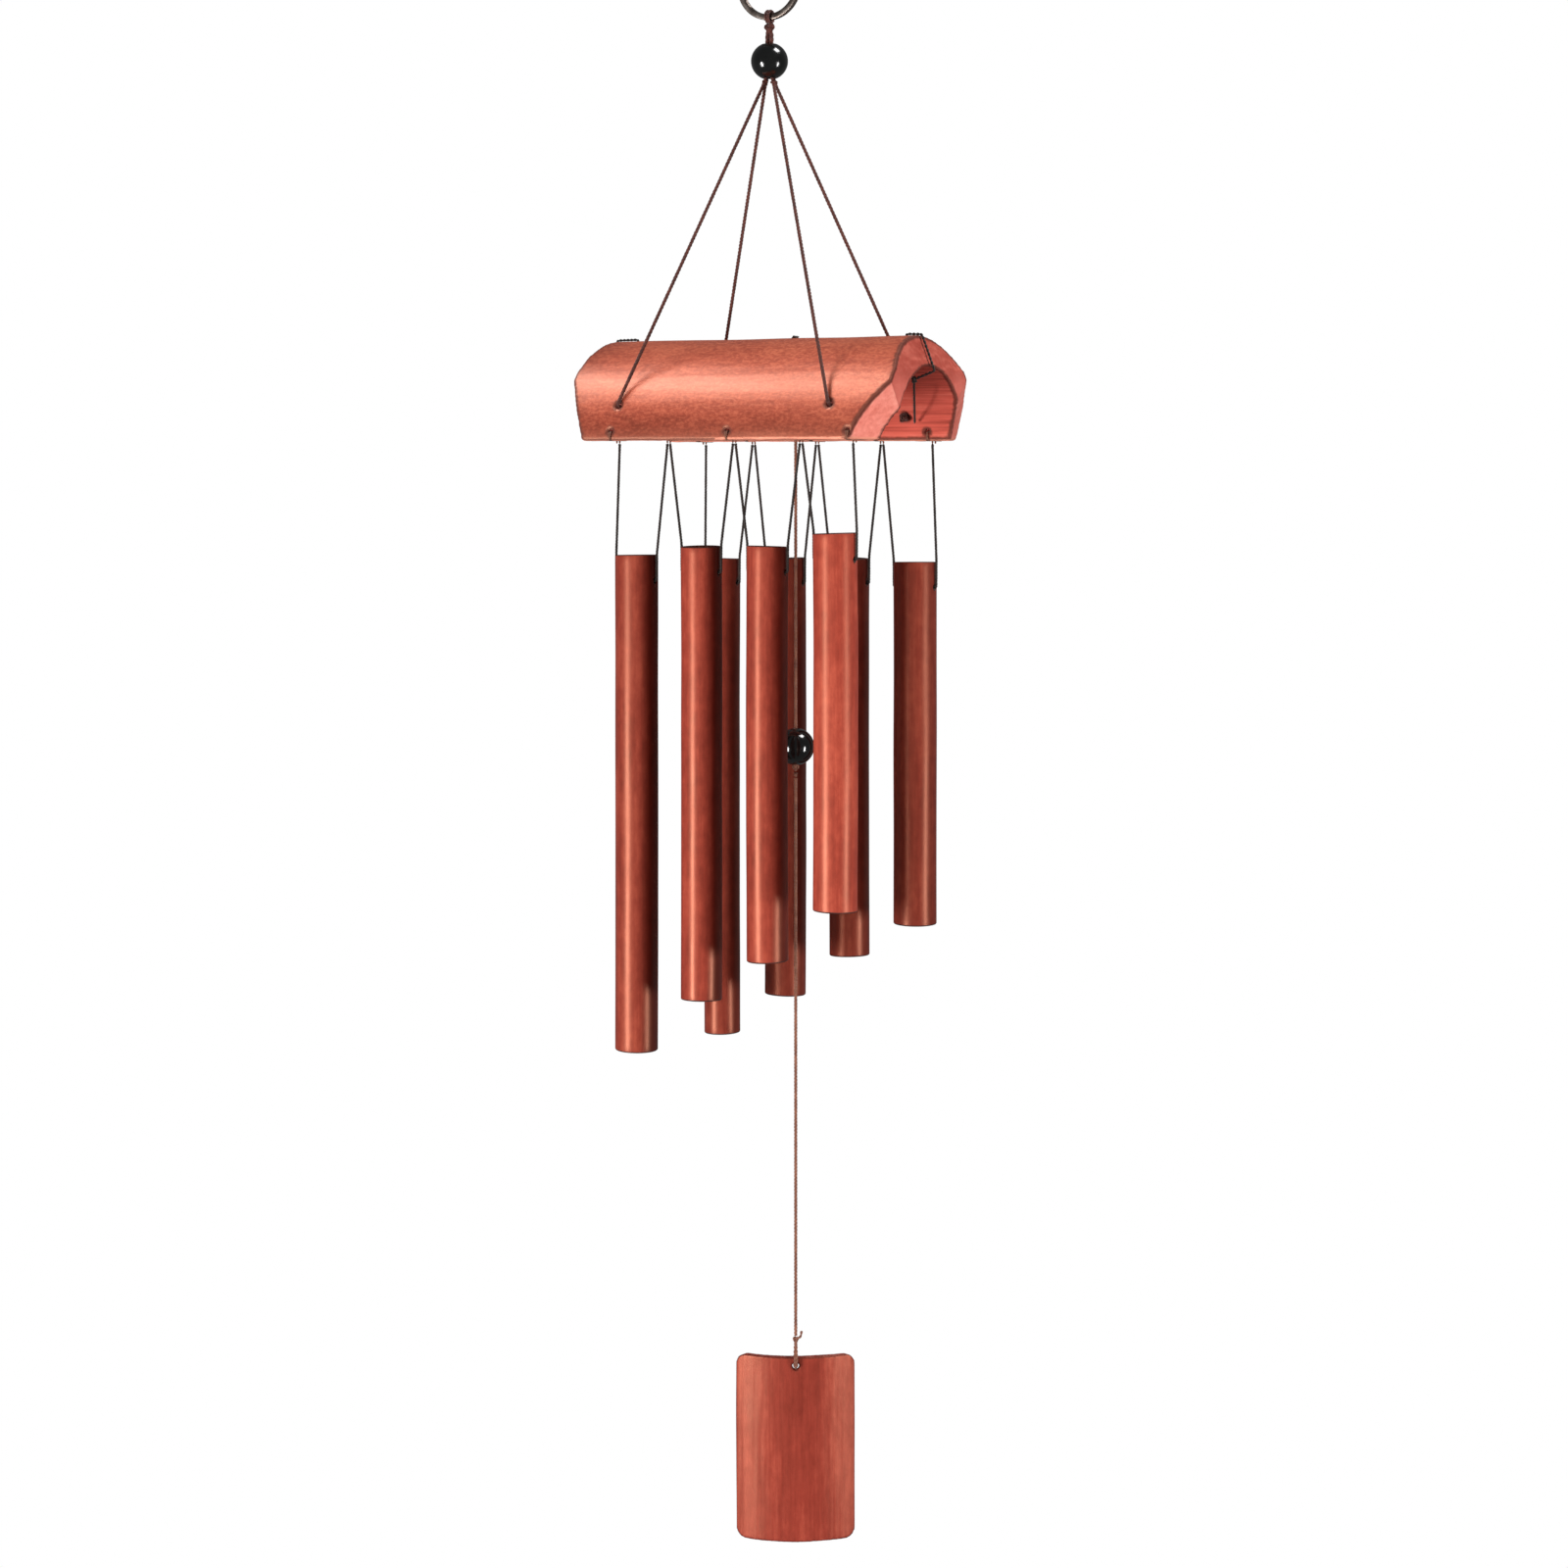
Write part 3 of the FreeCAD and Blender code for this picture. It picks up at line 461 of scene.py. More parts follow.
SKIN, END, BORE = tube_skin(), tube_end(), tube_bore()
CULM, SLIP = culm_material(), slip_material()
BROWN_CORD = cord_material("waxed_brown", srgb(50, 20, 15), srgb(104, 48, 34))
DARK_CORD = cord_material("waxed_dark", srgb(24, 18, 16), srgb(56, 44, 38))
TAN_STRING = cord_material("waxed_tan", srgb(100, 54, 40), srgb(156, 100, 76))
CORDS = {"brown_cord": BROWN_CORD, "dark_cord": DARK_CORD, "tan_string": TAN_STRING}
BLACK, STEEL = bead_material(), steel_material()


# ---------------------------------------------------------------- mesh helpers
def add_object(name, mesh):
    obj = bpy.data.objects.new(name, mesh)
    bpy.context.scene.collection.objects.link(obj)
    return obj


def mesh_of(bm, name, materials):
    bmesh.ops.recalc_face_normals(bm, faces=bm.faces)
    mesh = bpy.data.meshes.new(name)
    bm.to_mesh(mesh)
    bm.free()
    for material in materials:
        mesh.materials.append(material)
    mesh.shade_smooth()
    return mesh


def mount(obj, body, slot, *nodes):
    """Let a finished piece ride on its body and stand for its CAD nodes."""
    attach(obj, body)
    if nodes:
        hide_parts(*nodes)
    return obj


def baked(obj):
    """Apply an object's modifiers to its mesh."""
    depsgraph = bpy.context.evaluated_depsgraph_get()
    mesh = bpy.data.meshes.new_from_object(obj.evaluated_get(depsgraph))
    obj.modifiers.clear()
    obj.data = mesh
    return obj


def resample(points, step):
    """Evenly spaced points along a polyline."""
    reach = [0.0]
    for start, end in zip(points, points[1:]):
        reach.append(reach[-1] + (end - start).length)
    count = max(2, round(reach[-1] / step))
    spaced = []
    leg = 0
    for number in range(count + 1):
        target = reach[-1] * number / count
        while leg < len(points) - 2 and reach[leg + 1] < target:
            leg += 1
        span = max(reach[leg + 1] - reach[leg], 1e-9)
        spaced.append(points[leg].lerp(points[leg + 1], (target - reach[leg]) / span))
    return spaced


def rounded_path(corners, bend):
    """The polyline through the corners, each inner corner eased by a curve of about that reach."""
    corners = [Vector(c) for c in corners]
    path = [corners[0]]
    for before, corner, after in zip(corners, corners[1:], corners[2:]):
        start = corner + (before - corner).normalized() * min(bend, (before - corner).length / 2)
        end = corner + (after - corner).normalized() * min(bend, (after - corner).length / 2)
        for number in range(9):
            share = number / 8
            path.append(start.lerp(corner, share).lerp(corner.lerp(end, share), share))
    path.append(corners[-1])
    return path


def frames_along(path):
    """Two directions square to the path at each point, carried along without twisting."""
    last = len(path) - 1
    side = None
    frames = []
    for number in range(len(path)):
        tangent = (path[min(number + 1, last)] - path[max(number - 1, 0)]).normalized()
        side = tangent.orthogonal() if side is None else side - tangent * side.dot(tangent)
        side.normalize()
        frames.append((side.copy(), tangent.cross(side)))
    return frames


def join_rings(bm, rings):
    """Faces from each ring of vertices to the next, and a cap on the first and the last."""
    for first, second in zip(rings, rings[1:]):
        for corner in range(len(first)):
            after = (corner + 1) % len(first)
            bm.faces.new((first[corner], first[after], second[after], second[corner]))
    bm.faces.new(rings[0])
    bm.faces.new(rings[-1])


def sweep(bm, path, radius):
    """A round strand along a path, closed at both ends."""
    rings = []
    for point, (side, up) in zip(path, frames_along(path)):
        ring = []
        for corner in range(PLY_SIDES):
            turn = 2 * math.pi * corner / PLY_SIDES
            ring.append(bm.verts.new(point + (side * math.cos(turn) + up * math.sin(turn)) * radius))
        rings.append(ring)
    join_rings(bm, rings)


def cord(bm, path, radius, plies=3):
    """A twisted cord: its plies wind round the path, one turn every few radii."""
    pitch = CORD_LAY * radius
    points = resample(path, pitch / STEPS_PER_TURN)
    frames = frames_along(points)
    step = (points[1] - points[0]).length
    ply_radius = radius * (0.5 if plies == 2 else 0.53)
    offset = radius - ply_radius
    for ply in range(plies):
        strand = []
        for number, (point, (side, up)) in enumerate(zip(points, frames)):
            turn = 2 * math.pi * (ply / plies + number * step / pitch)
            strand.append(point + (side * math.cos(turn) + up * math.sin(turn)) * offset)
        sweep(bm, strand, ply_radius)


def knot(bm, centre, size, strand, axis=Z_AXIS, spin=0.0, plies=2):
    """A tight overhand knot: a small trefoil of cord about a centre, flat side square to the axis."""
    turn = axis.to_track_quat("Z", "Y").to_matrix() @ Matrix.Rotation(spin, 3, "Z")
    scale = (size - 0.9 * strand) / 3
    path = []
    for number in range(49):
        t = 2 * math.pi * number / 48
        point = Vector((math.sin(t) + 2 * math.sin(2 * t), math.cos(t) - 2 * math.cos(2 * t),
                        -1.4 * math.sin(3 * t)))
        path.append(Vector(centre) + turn @ (point * scale))
    cord(bm, path, strand, plies)


def lathe(bm, section, centre, segments, axis=Z_AXIS, wobble=None):
    """Turn a closed section of (radius, height, material index) about an axis through centre."""
    turn = axis.to_track_quat("Z", "Y").to_matrix()
    rings = []
    for radius, height, _ in section:
        ring = []
        for number in range(segments):
            angle = 2 * math.pi * number / segments
            point = Vector((radius * math.cos(angle), radius * math.sin(angle), height))
            if wobble:
                point = wobble(point, angle)
            ring.append(bm.verts.new(centre + turn @ point))
        rings.append(ring)
    for place, (ring, (_, _, zone)) in enumerate(zip(rings, section)):
        following = rings[(place + 1) % len(rings)]
        for number in range(segments):
            after = (number + 1) % segments
            face = bm.faces.new((ring[number], ring[after], following[after], following[number]))
            face.material_index = zone


def from_cad(node, name, voxel, material):
    """A dense, evenly meshed copy of a CAD node, its edges eased, ready for sculpting in code."""
    bm = bmesh.new()
    bm.from_mesh(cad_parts[node].data)
    bmesh.ops.remove_doubles(bm, verts=bm.verts, dist=0.001 * MM)
    obj = add_object(name, mesh_of(bm, name, []))
    remesh = obj.modifiers.new("even_mesh", "REMESH")
    remesh.mode = "VOXEL"
    remesh.voxel_size = voxel
    ease = obj.modifiers.new("eased_edges", "SMOOTH")
    ease.factor = 0.5
    ease.iterations = 3
    baked(obj)
    obj.data.materials.clear()
    obj.data.materials.append(material)
    obj.data.shade_smooth()
    return obj


def step_between(value, start, end):
    """0 before start, 1 after end, smooth between; start may be the larger."""
    share = min(1.0, max(0.0, (value - start) / (end - start)))
    return share * share * (3 - 2 * share)


def drawn_noise(point, scale, stretch):
    """Smooth noise, -1 to 1, with its features drawn out by the stretch along each axis."""
    return noise.noise(Vector(c * s / scale for c, s in zip(point, stretch)))


# ---------------------------------------------------------------- ring, loop and beads
def split_ring():
    """Two turns of flat wire wound side by side, stepping across once, with rounded wire edges."""
    low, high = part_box("split_ring")
    half = (high.y - low.y) / 2
    middle = high.x - RING_WIRE / 2
    thick = half * RING_TURN_FILL
    section = []
    for sx, sy in ((1, 1), (-1, 1), (-1, -1), (1, -1)):
        for number in range(4):
            angle = math.atan2(sy, sx) - math.pi / 4 + math.pi / 2 * number / 3
            section.append((sx * (RING_WIRE / 2 - RING_ROUND) + RING_ROUND * math.cos(angle),
                            sy * (thick / 2 - RING_ROUND) + RING_ROUND * math.sin(angle)))
    total = 4 * math.pi - RING_STEP - RING_END_GAP
    steps = 300
    bm = bmesh.new()
    rings = []
    for number in range(steps + 1):
        turn = total * number / steps
        across = step_between(turn, 2 * math.pi - RING_STEP, 2 * math.pi)
        side = (2 * across - 1) * half / 2
        around = turn + RING_START
        radial = Vector((math.cos(around), 0, math.sin(around)))
        rings.append([bm.verts.new(radial * (middle + u) + Y_AXIS * (side + v)) for u, v in section])
    join_rings(bm, rings)
    mount(add_object("ring_wire", mesh_of(bm, "ring_wire", [STEEL])), "ring", "steel", "split_ring")


def hanger():
    """Cord hitched round the ring's wire: the loop, its knot and two strands into the bead."""
    low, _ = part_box("hanger_loop")
    ring_low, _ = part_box("split_ring")
    centre = Vector((0, 0, ring_low.z + RING_WIRE / 2))
    bm = bmesh.new()
    for side in (-1, 1):
        path = []
        for number in range(33):
            angle = math.radians(-90 + 360 * number / 32)
            lift = 0.5 * MM * (1 - math.cos(angle + math.pi / 2))
            path.append(centre + Vector((side * (0.55 * MM + 0.25 * lift), LOOP_BEND * math.cos(angle),
                                         LOOP_BEND * math.sin(angle))))
        cord(bm, path, LOOP_CORD)
    knot_centre = Vector((0, 0, centre.z - LOOP_BEND - LOOP_KNOT_DROP))
    knot(bm, knot_centre, *LOOP_KNOT, Y_AXIS, plies=3)
    for side in (-1, 1):
        neck = [knot_centre, (side * 1.1 * MM, 0, knot_centre.z - 3 * MM), (side * NECK_CORD, 0, low.z)]
        cord(bm, rounded_path(neck, 1.5 * MM), NECK_CORD)
    obj = add_object("ring_loop", mesh_of(bm, "ring_loop", [BROWN_CORD]))
    mount(obj, "hanger", "brown_cord", "hanger_loop")


def bead(name, node, body, bore):
    """A turned bead: full ball, bore, and a small rolled lip where they meet."""
    low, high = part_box(node)
    centre = (low + high) / 2
    radius = (high.x - low.x) / 2
    lip = BEAD_LIP
    mouth = math.asin((bore + lip) / radius)
    section = []
    for number in range(41):
        angle = mouth + (math.pi - 2 * mouth) * number / 40
        section.append((radius * math.sin(angle), radius * math.cos(angle), 0))
    edge = radius * math.cos(mouth)
    for number in range(1, 6):
        angle = math.pi / 2 * number / 5
        section.append((bore + lip - lip * math.sin(angle), -edge + lip * (1 - math.cos(angle)), 0))
    for number in range(5, 0, -1):
        angle = math.pi / 2 * number / 5
        section.append((bore + lip - lip * math.sin(angle), edge - lip * (1 - math.cos(angle)), 0))
    bm = bmesh.new()
    lathe(bm, section, centre, 72)
    mount(add_object(name, mesh_of(bm, name, [BLACK])), body, "black_bead", node)


# ---------------------------------------------------------------- roof
def sculpt_roof(point, normal):
    """Where a point of the roof moves to: gentle swells outside, fibre ridges inside, rough cuts."""
    flat = Vector((0, point.y, point.z - SPLIT_Z))
    radius = flat.length
    outward = flat / radius
    skin = step_between(radius, CULM_RADIUS - 2 * MM, CULM_RADIUS - 0.5 * MM)
    inner = step_between(radius, INNER_RADIUS + 2 * MM, INNER_RADIUS + 0.5 * MM)
    swell = 0.35 * MM * drawn_noise(point, 26 * MM, (0.6, 1, 1))
    brushed = 0.05 * MM * drawn_noise(point, 3 * MM, (0.06, 1, 1))
    ridges = 0.28 * MM * drawn_noise(point, 4.2 * MM, (0.05, 1, 1))
    hollows = 0.7 * MM * drawn_noise(point, 14 * MM, (0.3, 1, 1))
    moved = outward * (skin * (swell + brushed) + inner * (ridges + hollows))
    if abs(normal.dot(outward)) < 0.6:
        moved += normal * 0.16 * MM * drawn_noise(point, 2.4 * MM, (0.5, 1, 1))
        moved += normal * 0.3 * MM * drawn_noise(point, 11 * MM, (1, 1, 1))
    return point + moved


def note_edges(mesh, normals):
    """Store each vertex's distance from the nearest edge between a sawn end and the skin or inside."""
    ends, sides = [], []
    for vertex, normal in zip(mesh.vertices, normals):
        outward = Vector((0, vertex.co.y, vertex.co.z - SPLIT_Z)).normalized()
        facing = abs(normal.dot(outward))
        if facing > 0.85:
            sides.append(vertex.index)
        elif abs(normal.z) < 0.9:
            ends.append(vertex.index)
    reach = [1.0] * len(mesh.vertices)
    for near, far in ((ends, sides), (sides, ends)):
        tree = kdtree.KDTree(len(near))
        for index in near:
            tree.insert(mesh.vertices[index].co, index)
        tree.balance()
        for index in far:
            reach[index] = tree.find(mesh.vertices[index].co)[2]
    mesh.attributes.new(EDGE_REACH, "FLOAT", "POINT").data.foreach_set("value", reach)


def roof():
    """The culm: the CAD roof meshed evenly, its cut edges noted for the material, then worn."""
    obj = from_cad("bamboo_roof", "roof_culm", ROOF_VOXEL, CULM)
    normals = [v.normal.copy() for v in obj.data.vertices]
    note_edges(obj.data, normals)
    for vertex, normal in zip(obj.data.vertices, normals):
        vertex.co = sculpt_roof(vertex.co, normal)
    mount(obj, "roof", "bamboo_culm", "bamboo_roof")


def wall_point(x, radius, rise, sign):
    """A point at a distance from the culm's axis, at a height above the split edge."""
    return Vector((x, sign * math.sqrt(radius ** 2 - rise ** 2), SPLIT_Z + rise))


def hanging_cord(side, node):
    """Two cords from inside the bead, a knot under it, and a leg to each wall of the roof."""
    bead_low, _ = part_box("top_bead")
    bm = bmesh.new()
    under_knot = Vector((side * HANG_KNOT_SIDE, 0, bead_low.z - HANG_KNOT_DROP))
    for sign in (-1, 1):
        hole = wall_point(side * HANG_HOLE_SIDE, CULM_RADIUS, HANG_HOLE_RISE, sign)
        outward = Vector((0, hole.y, hole.z - SPLIT_Z)).normalized()
        stop = hole - outward * (CULM_WALL + STOPPER_REACH)
        start = Vector((side * 1.2 * MM, sign * 0.7 * MM, bead_low.z + 2.5 * MM))
        route = [start, under_knot + Y_AXIS * sign * 0.6 * MM, hole + outward * 1.0 * MM, stop]
        cord(bm, rounded_path(route, 1.6 * MM), HANG_CORD)
        knot(bm, stop, *STOPPER_KNOT, outward, spin=side)
    knot(bm, under_knot, *HANG_KNOT, Vector((side, 0, 0.8)), spin=0.6 * side, plies=3)
    name = "roof_cord_left" if side < 0 else "roof_cord_right"
    mount(add_object(name, mesh_of(bm, name, [BROWN_CORD])), "roof", "brown_cord", node)


def stitch_places():
    """Where the stitches stand along a wall, and whether each passes through to the outer face."""
    low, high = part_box("front_stitches")
    middle, end = (low.x + high.x) / 2, (high.x - low.x) / 2 - STITCH_CORD
    pitch = tube_axis("front", 2).x - tube_axis("front", 1).x
    return [(middle - end, True), (middle - pitch, False), (middle, True),
            (middle + pitch, False), (middle + end, True)]


def row_stitches(row):
    """Thin cord stitched through the wall near its lower edge, with two ends down to the tube cords."""
    sign = ROW_SIGN[row]
    _, cord_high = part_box(row + "_cord_1")
    below, tied = SPLIT_Z + 0.1 * MM, cord_high.z + 0.3 * MM
    out, back = CULM_RADIUS + 0.55 * STITCH_CORD, INNER_RADIUS - 0.9 * STITCH_CORD
    corner = math.sqrt(INNER_RADIUS ** 2 - (2 * STITCH_RISE) ** 2) - 0.9 * STITCH_CORD
    middle = abs(tube_axis(row, 1).y)
    foot = middle + 1.2 * MM
    rise = SPLIT_Z + STITCH_RISE - 0.4 * MM
    bm = bmesh.new()
    for x, through in stitch_places():
        for turn in (-1, 1) if through else (0,):
            shift = turn * STITCH_TURN_GAP
            if through:
                corners = [(x, sign * out, below), (x + shift, sign * out, rise), (x, sign * back, rise),
                           (x + shift, sign * back, below), (x, sign * out, below)]
            else:
                corners = [(x, sign * foot, below), (x, sign * corner, rise + STITCH_RISE),
                           (x, sign * corner, below), (x, sign * foot, below)]
            cord(bm, rounded_path(corners, 1.1 * MM), STITCH_PLY, plies=2)
        for side in (-1, 1):
            place = Vector((x + side * CORD_PAIR_GAP, sign * middle, 0))
            cord(bm, [place + Z_AXIS * (SPLIT_Z + 0.8 * MM), place + Z_AXIS * tied], STITCH_END, plies=2)
    name = row + "_stitching"
    obj = add_object(name, mesh_of(bm, name, [TAN_STRING]))
    mount(obj, "roof", "brown_cord", row + "_stitches")


def end_tie(end, node):
    """Cord through the ridge hole and round the roof's end, knotted inside, with a tail to a stitch."""
    low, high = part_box(node)
    tip = high.x if end > 0 else low.x
    ceiling = RIDGE_Z - CULM_WALL
    hole = end * END_HOLE_SIDE
    inset = END_TRIM_RIGHT if end > 0 else END_TRIM_LEFT
    tied = Vector((hole + end * END_KNOT_SIDE, 0, ceiling - END_KNOT_SINK))
    bm = bmesh.new()
    over = [tied, (hole, 0, ceiling - 1 * MM), (hole, 0, RIDGE_Z + 0.9 * MM),
            (tip - end * inset, 0, RIDGE_Z + 0.7 * MM), (tip, 0.6 * MM, ceiling - 2 * MM), tied]
    cord(bm, rounded_path(over, 1.2 * MM), END_CORD, plies=2)
    knot(bm, tied, *END_KNOT, Vector((1, 0, 0.4)))
    tail = wall_point(end * (HANG_HOLE_SIDE + 6 * MM), INNER_RADIUS - 3 * MM, 2 * STITCH_RISE, end)
    sag = tied.lerp(tail, 0.5) - Z_AXIS * 2 * MM
    cord(bm, rounded_path([tied, sag, tail], 6 * MM), END_CORD, plies=2)
    name = "tie_right" if end > 0 else "tie_left"
    mount(add_object(name, mesh_of(bm, name, [DARK_CORD])), "roof", "dark_cord", node)


# ---------------------------------------------------------------- tubes
# each tube's brightness, and how much shade is painted on its side towards the next tube
TUBE_TONES = {"front": ((0.94, 0.9), (1.2, 0.9), (1.2, 0.8), (1.34, 0)),
              "rear": ((0.8, 0.4), (0.78, 0.3), (0.78, 0.3), (0.86, 0.45))}
# a tube's material zones, in the order of its materials
SKIN_ZONE, END_ZONE, BORE_ZONE = range(3)


def tube_axis(row, number):
    low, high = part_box(f"{row}_tube_{number}")
    return (low + high) / 2


def cord_hole(axis_point, radius):
    """The drill that makes a tube's cord holes, flared where it leaves each wall."""
    bm = bmesh.new()
    reach, flare = radius + 3 * MM, TUBE_HOLE_FLARE
    section = [(0.01 * MM, -reach, 1), (TUBE_HOLE + 4 * flare, -reach, 1),
               (TUBE_HOLE + flare, -radius + 0.2 * MM, 1), (TUBE_HOLE, -radius + 0.9 * MM, 1),
               (TUBE_HOLE, radius - 0.9 * MM, 1), (TUBE_HOLE + flare, radius - 0.2 * MM, 1),
               (TUBE_HOLE + 4 * flare, reach, 1), (0.01 * MM, reach, 1)]
    lathe(bm, section, axis_point, 24, X_AXIS)
    return add_object("drill", mesh_of(bm, "drill", [SKIN, END, BORE]))


def tube(row, number):
    """One bamboo tube: slightly oval and bowed, uneven wall, eased rims, cord holes with worn mouths."""
    node = f"{row}_tube_{number}"
    low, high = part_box(node)
    radius, length = (high.x - low.x) / 2, high.z - low.z
    base = Vector(((low.x + high.x) / 2, (low.y + high.y) / 2, low.z))
    seed = number + (10 if row == "rear" else 0)
    ease, inner = TUBE_EASE, radius - TUBE_WALL
    straight = [ease + (length - 2 * ease) * place / TUBE_ROWS for place in range(TUBE_ROWS + 1)]
    # the steps of an eased corner: how far off the first face, and how far short of the second
    corner = []
    for arc in range(5):
        angle = math.pi / 2 * arc / 4
        corner.append((ease * (1 - math.cos(angle)), ease * (1 - math.sin(angle))))
    section = [(radius, height, SKIN_ZONE) for height in straight]
    section += [(radius - off, length - rise, END_ZONE) for off, rise in corner[1:]]
    section += [(inner + rise, length - off, END_ZONE) for off, rise in corner[:-1]]
    section += [(inner, height, BORE_ZONE) for height in reversed(straight)]
    section += [(inner + off, rise, END_ZONE) for off, rise in corner[1:]]
    section += [(radius - rise, off, END_ZONE) for off, rise in corner[:-1]]

    def grown(point, angle):
        """Ovality, a slight bow, swells along the tube and rims sawn a little out of square."""
        share = point.z / length
        around = Vector((math.cos(angle), math.sin(angle), 0))
        sample = Vector((around.x * 0.9, around.y * 0.9, point.z / (42 * MM) + 7 * seed))
        depth = 1.0 if math.hypot(point.x, point.y) > radius - TUBE_WALL / 2 else -1.6
        bulge = 0.1 * MM * math.cos(2 * angle + seed) + 0.16 * MM * noise.noise(sample) * depth
        bow = 0.35 * MM * math.sin(math.pi * share)
        lean = Vector((math.cos(2.4 * seed), math.sin(2.4 * seed), 0))
        edge_band = 0.3 * MM * around.dot(lean) * (2 * share - 1) * step_between(abs(2 * share - 1), 0.9, 1)
        return point + around * bulge + lean * bow + Z_AXIS * edge_band

    bm = bmesh.new()
    lathe(bm, section, base, 64, wobble=grown)
    obj = add_object(node + "_bamboo", mesh_of(bm, node, [SKIN, END, BORE]))
    drill = cord_hole(Vector((base.x, base.y, high.z - TUBE_HOLE_DROP)), radius)
    cut = obj.modifiers.new("cord_holes", "BOOLEAN")
    cut.object = drill
    cut.operation = "DIFFERENCE"
    cut.solver = "EXACT"
    baked(obj)
    bpy.data.objects.remove(drill)
    tone, tinting = TUBE_TONES[row][number - 1]
    obj.color = (tone, tone, tone, tinting)
    mount(obj, node, "bamboo_tube", node)


def tube_cord(row, number):
    """One cord: from the left stitch down the tube's side, through its holes and up to the right."""
    node = f"{row}_cord_{number}"
    low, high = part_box(f"{row}_tube_{number}")
    _, cord_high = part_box(node)
    x, y, radius = (low.x + high.x) / 2, (low.y + high.y) / 2, (high.x - low.x) / 2
    top, hole = cord_high.z - TUBE_CORD, high.z - TUBE_HOLE_DROP
    places = [place for place, _ in stitch_places()]
    out = radius + TUBE_TWIST + 0.25 * MM
    bm = bmesh.new()
    route = []
    for side, stitch in ((-1, places[number - 1]), (1, places[number])):
        tie = Vector((stitch - side * CORD_PAIR_GAP, y, top))
        leg = [tie, (x + side * (out + 0.1 * MM), y, high.z + 1.0 * MM), (x + side * out, y, hole)]
        route += leg if side < 0 else leg[::-1]
        knot(bm, tie, *STITCH_KNOT, Y_AXIS, spin=number + side)
    cord(bm, rounded_path(route, 1.0 * MM), TUBE_TWIST)
    mount(add_object(node + "_twist", mesh_of(bm, node, [DARK_CORD])), node, "dark_cord", node)


# ---------------------------------------------------------------- clapper and sail
def string_piece(name, node, body, routes, knots, radius=STRING, plies=3, slot="tan_string"):
    """Runs of string, and knots given as (centre, reach, strand, axis), as one piece for one CAD node."""
    bm = bmesh.new()
    for route in routes:
        cord(bm, rounded_path(route, 2 * radius), radius, plies)
    for tied in knots:
        knot(bm, *tied)
    mount(add_object(name, mesh_of(bm, name, [CORDS[slot]])), body, slot, node)


def clapper_strings():
    """From the ridge knot down: tie knot, clapper string, the hitch under the bead, sail string."""
    low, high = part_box("clapper_ridge_knot")
    x = (low.x + high.x) / 2
    string_piece("ridge_knot", "clapper_ridge_knot", "roof",
                 [[(x, 0, RIDGE_Z - 0.2 * MM), (x, 0, low.z)]],
                 [((x, 0, RIDGE_Z), *RIDGE_KNOT, Z_AXIS)], slot="dark_cord")
    low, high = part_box("clapper_tie_knot")
    string_piece("tie_knot", "clapper_tie_knot", "clapper_tie", [],
                 [((x, 0, (low.z + high.z) / 2), *TIE_KNOT, Y_AXIS)])
    low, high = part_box("clapper_string")
    string_piece("string_upper", "clapper_string", "clapper_string",
                 [[(x, 0, high.z - 0.3 * MM), (x, 0, low.z + 1.5 * MM)]],
                 [((x, 0, low.z + STOP_KNOT[0]), *STOP_KNOT, Y_AXIS)])
    low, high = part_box("sail_hitch_knot")
    string_piece("hitch_knot", "sail_hitch_knot", "sail_hitch", [],
                 [((x, 0, (low.z + high.z) / 2), *HITCH_KNOT, X_AXIS)])
    low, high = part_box("sail_string")
    string_piece("string_lower", "sail_string", "sail_string",
                 [[(x, 0, high.z - 0.3 * MM), (x, 0, low.z - 0.1 * MM)]],
                 [((x, 0, high.z - 0.9 * MM), *SAIL_TOP_KNOT, Y_AXIS)])


def sail_frame():
    """The sail's middle at its top edge and the two level directions along and through it."""
    _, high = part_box("wind_sail")
    string_low, string_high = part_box("sail_string")
    top = Vector(((string_low.x + string_high.x) / 2, (string_low.y + string_high.y) / 2, high.z))
    across = Vector((math.cos(SAIL_TURN), math.sin(SAIL_TURN), 0))
    return top, across, Vector((-across.y, across.x, 0))


def sail_loop():
    """The eye of string through the sail's hole, its knot and a short tail."""
    top, across, through = sail_frame()
    string_low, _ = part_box("sail_string")
    tied = Vector((top.x, top.y, string_low.z - SAIL_KNOT_DROP))
    shoulder = tied - Z_AXIS * SAIL_EYE_SHOULDER
    hole = top - Z_AXIS * SAIL_HOLE_INSET
    reach = through * (SAIL_WALL / 2 + SAIL_EYE_REACH)
    routes = []
    for turn in (90, 210, 330):
        bundle = math.radians(turn)
        aside = (across * math.cos(bundle) - Z_AXIS * math.sin(bundle)) * SAIL_CORD
        routes.append([tied, shoulder - reach + aside / 2, hole - reach + aside,
                       hole + reach + aside, shoulder + reach + aside / 2, tied])
    bend, tip = (2.4 * MM, 1.0 * MM), (2.9 * MM, 4 * MM)
    routes.append([tied, *(tied + across * side + Z_AXIS * rise for side, rise in (bend, tip))])
    string_piece("sail_eye", "sail_loop", "sail_loop", routes,
                 [(tied, *SAIL_EYE_KNOT, through)], SAIL_CORD, plies=2)


def sail():
    """The slip: the CAD sail meshed evenly, with gentle swells and fine fibres."""
    obj = from_cad("wind_sail", "sail_slip", SAIL_VOXEL, SLIP)
    normals = [v.normal.copy() for v in obj.data.vertices]
    for vertex, normal in zip(obj.data.vertices, normals):
        point = vertex.co
        swell = 0.3 * MM * drawn_noise(point, 20 * MM, (1, 1, 0.5))
        fibres = 0.07 * MM * drawn_noise(point, 1.8 * MM, (1, 1, 0.06))
        vertex.co = point + normal * (swell + fibres)
    mount(obj, "sail", "bamboo_slip", "wind_sail")


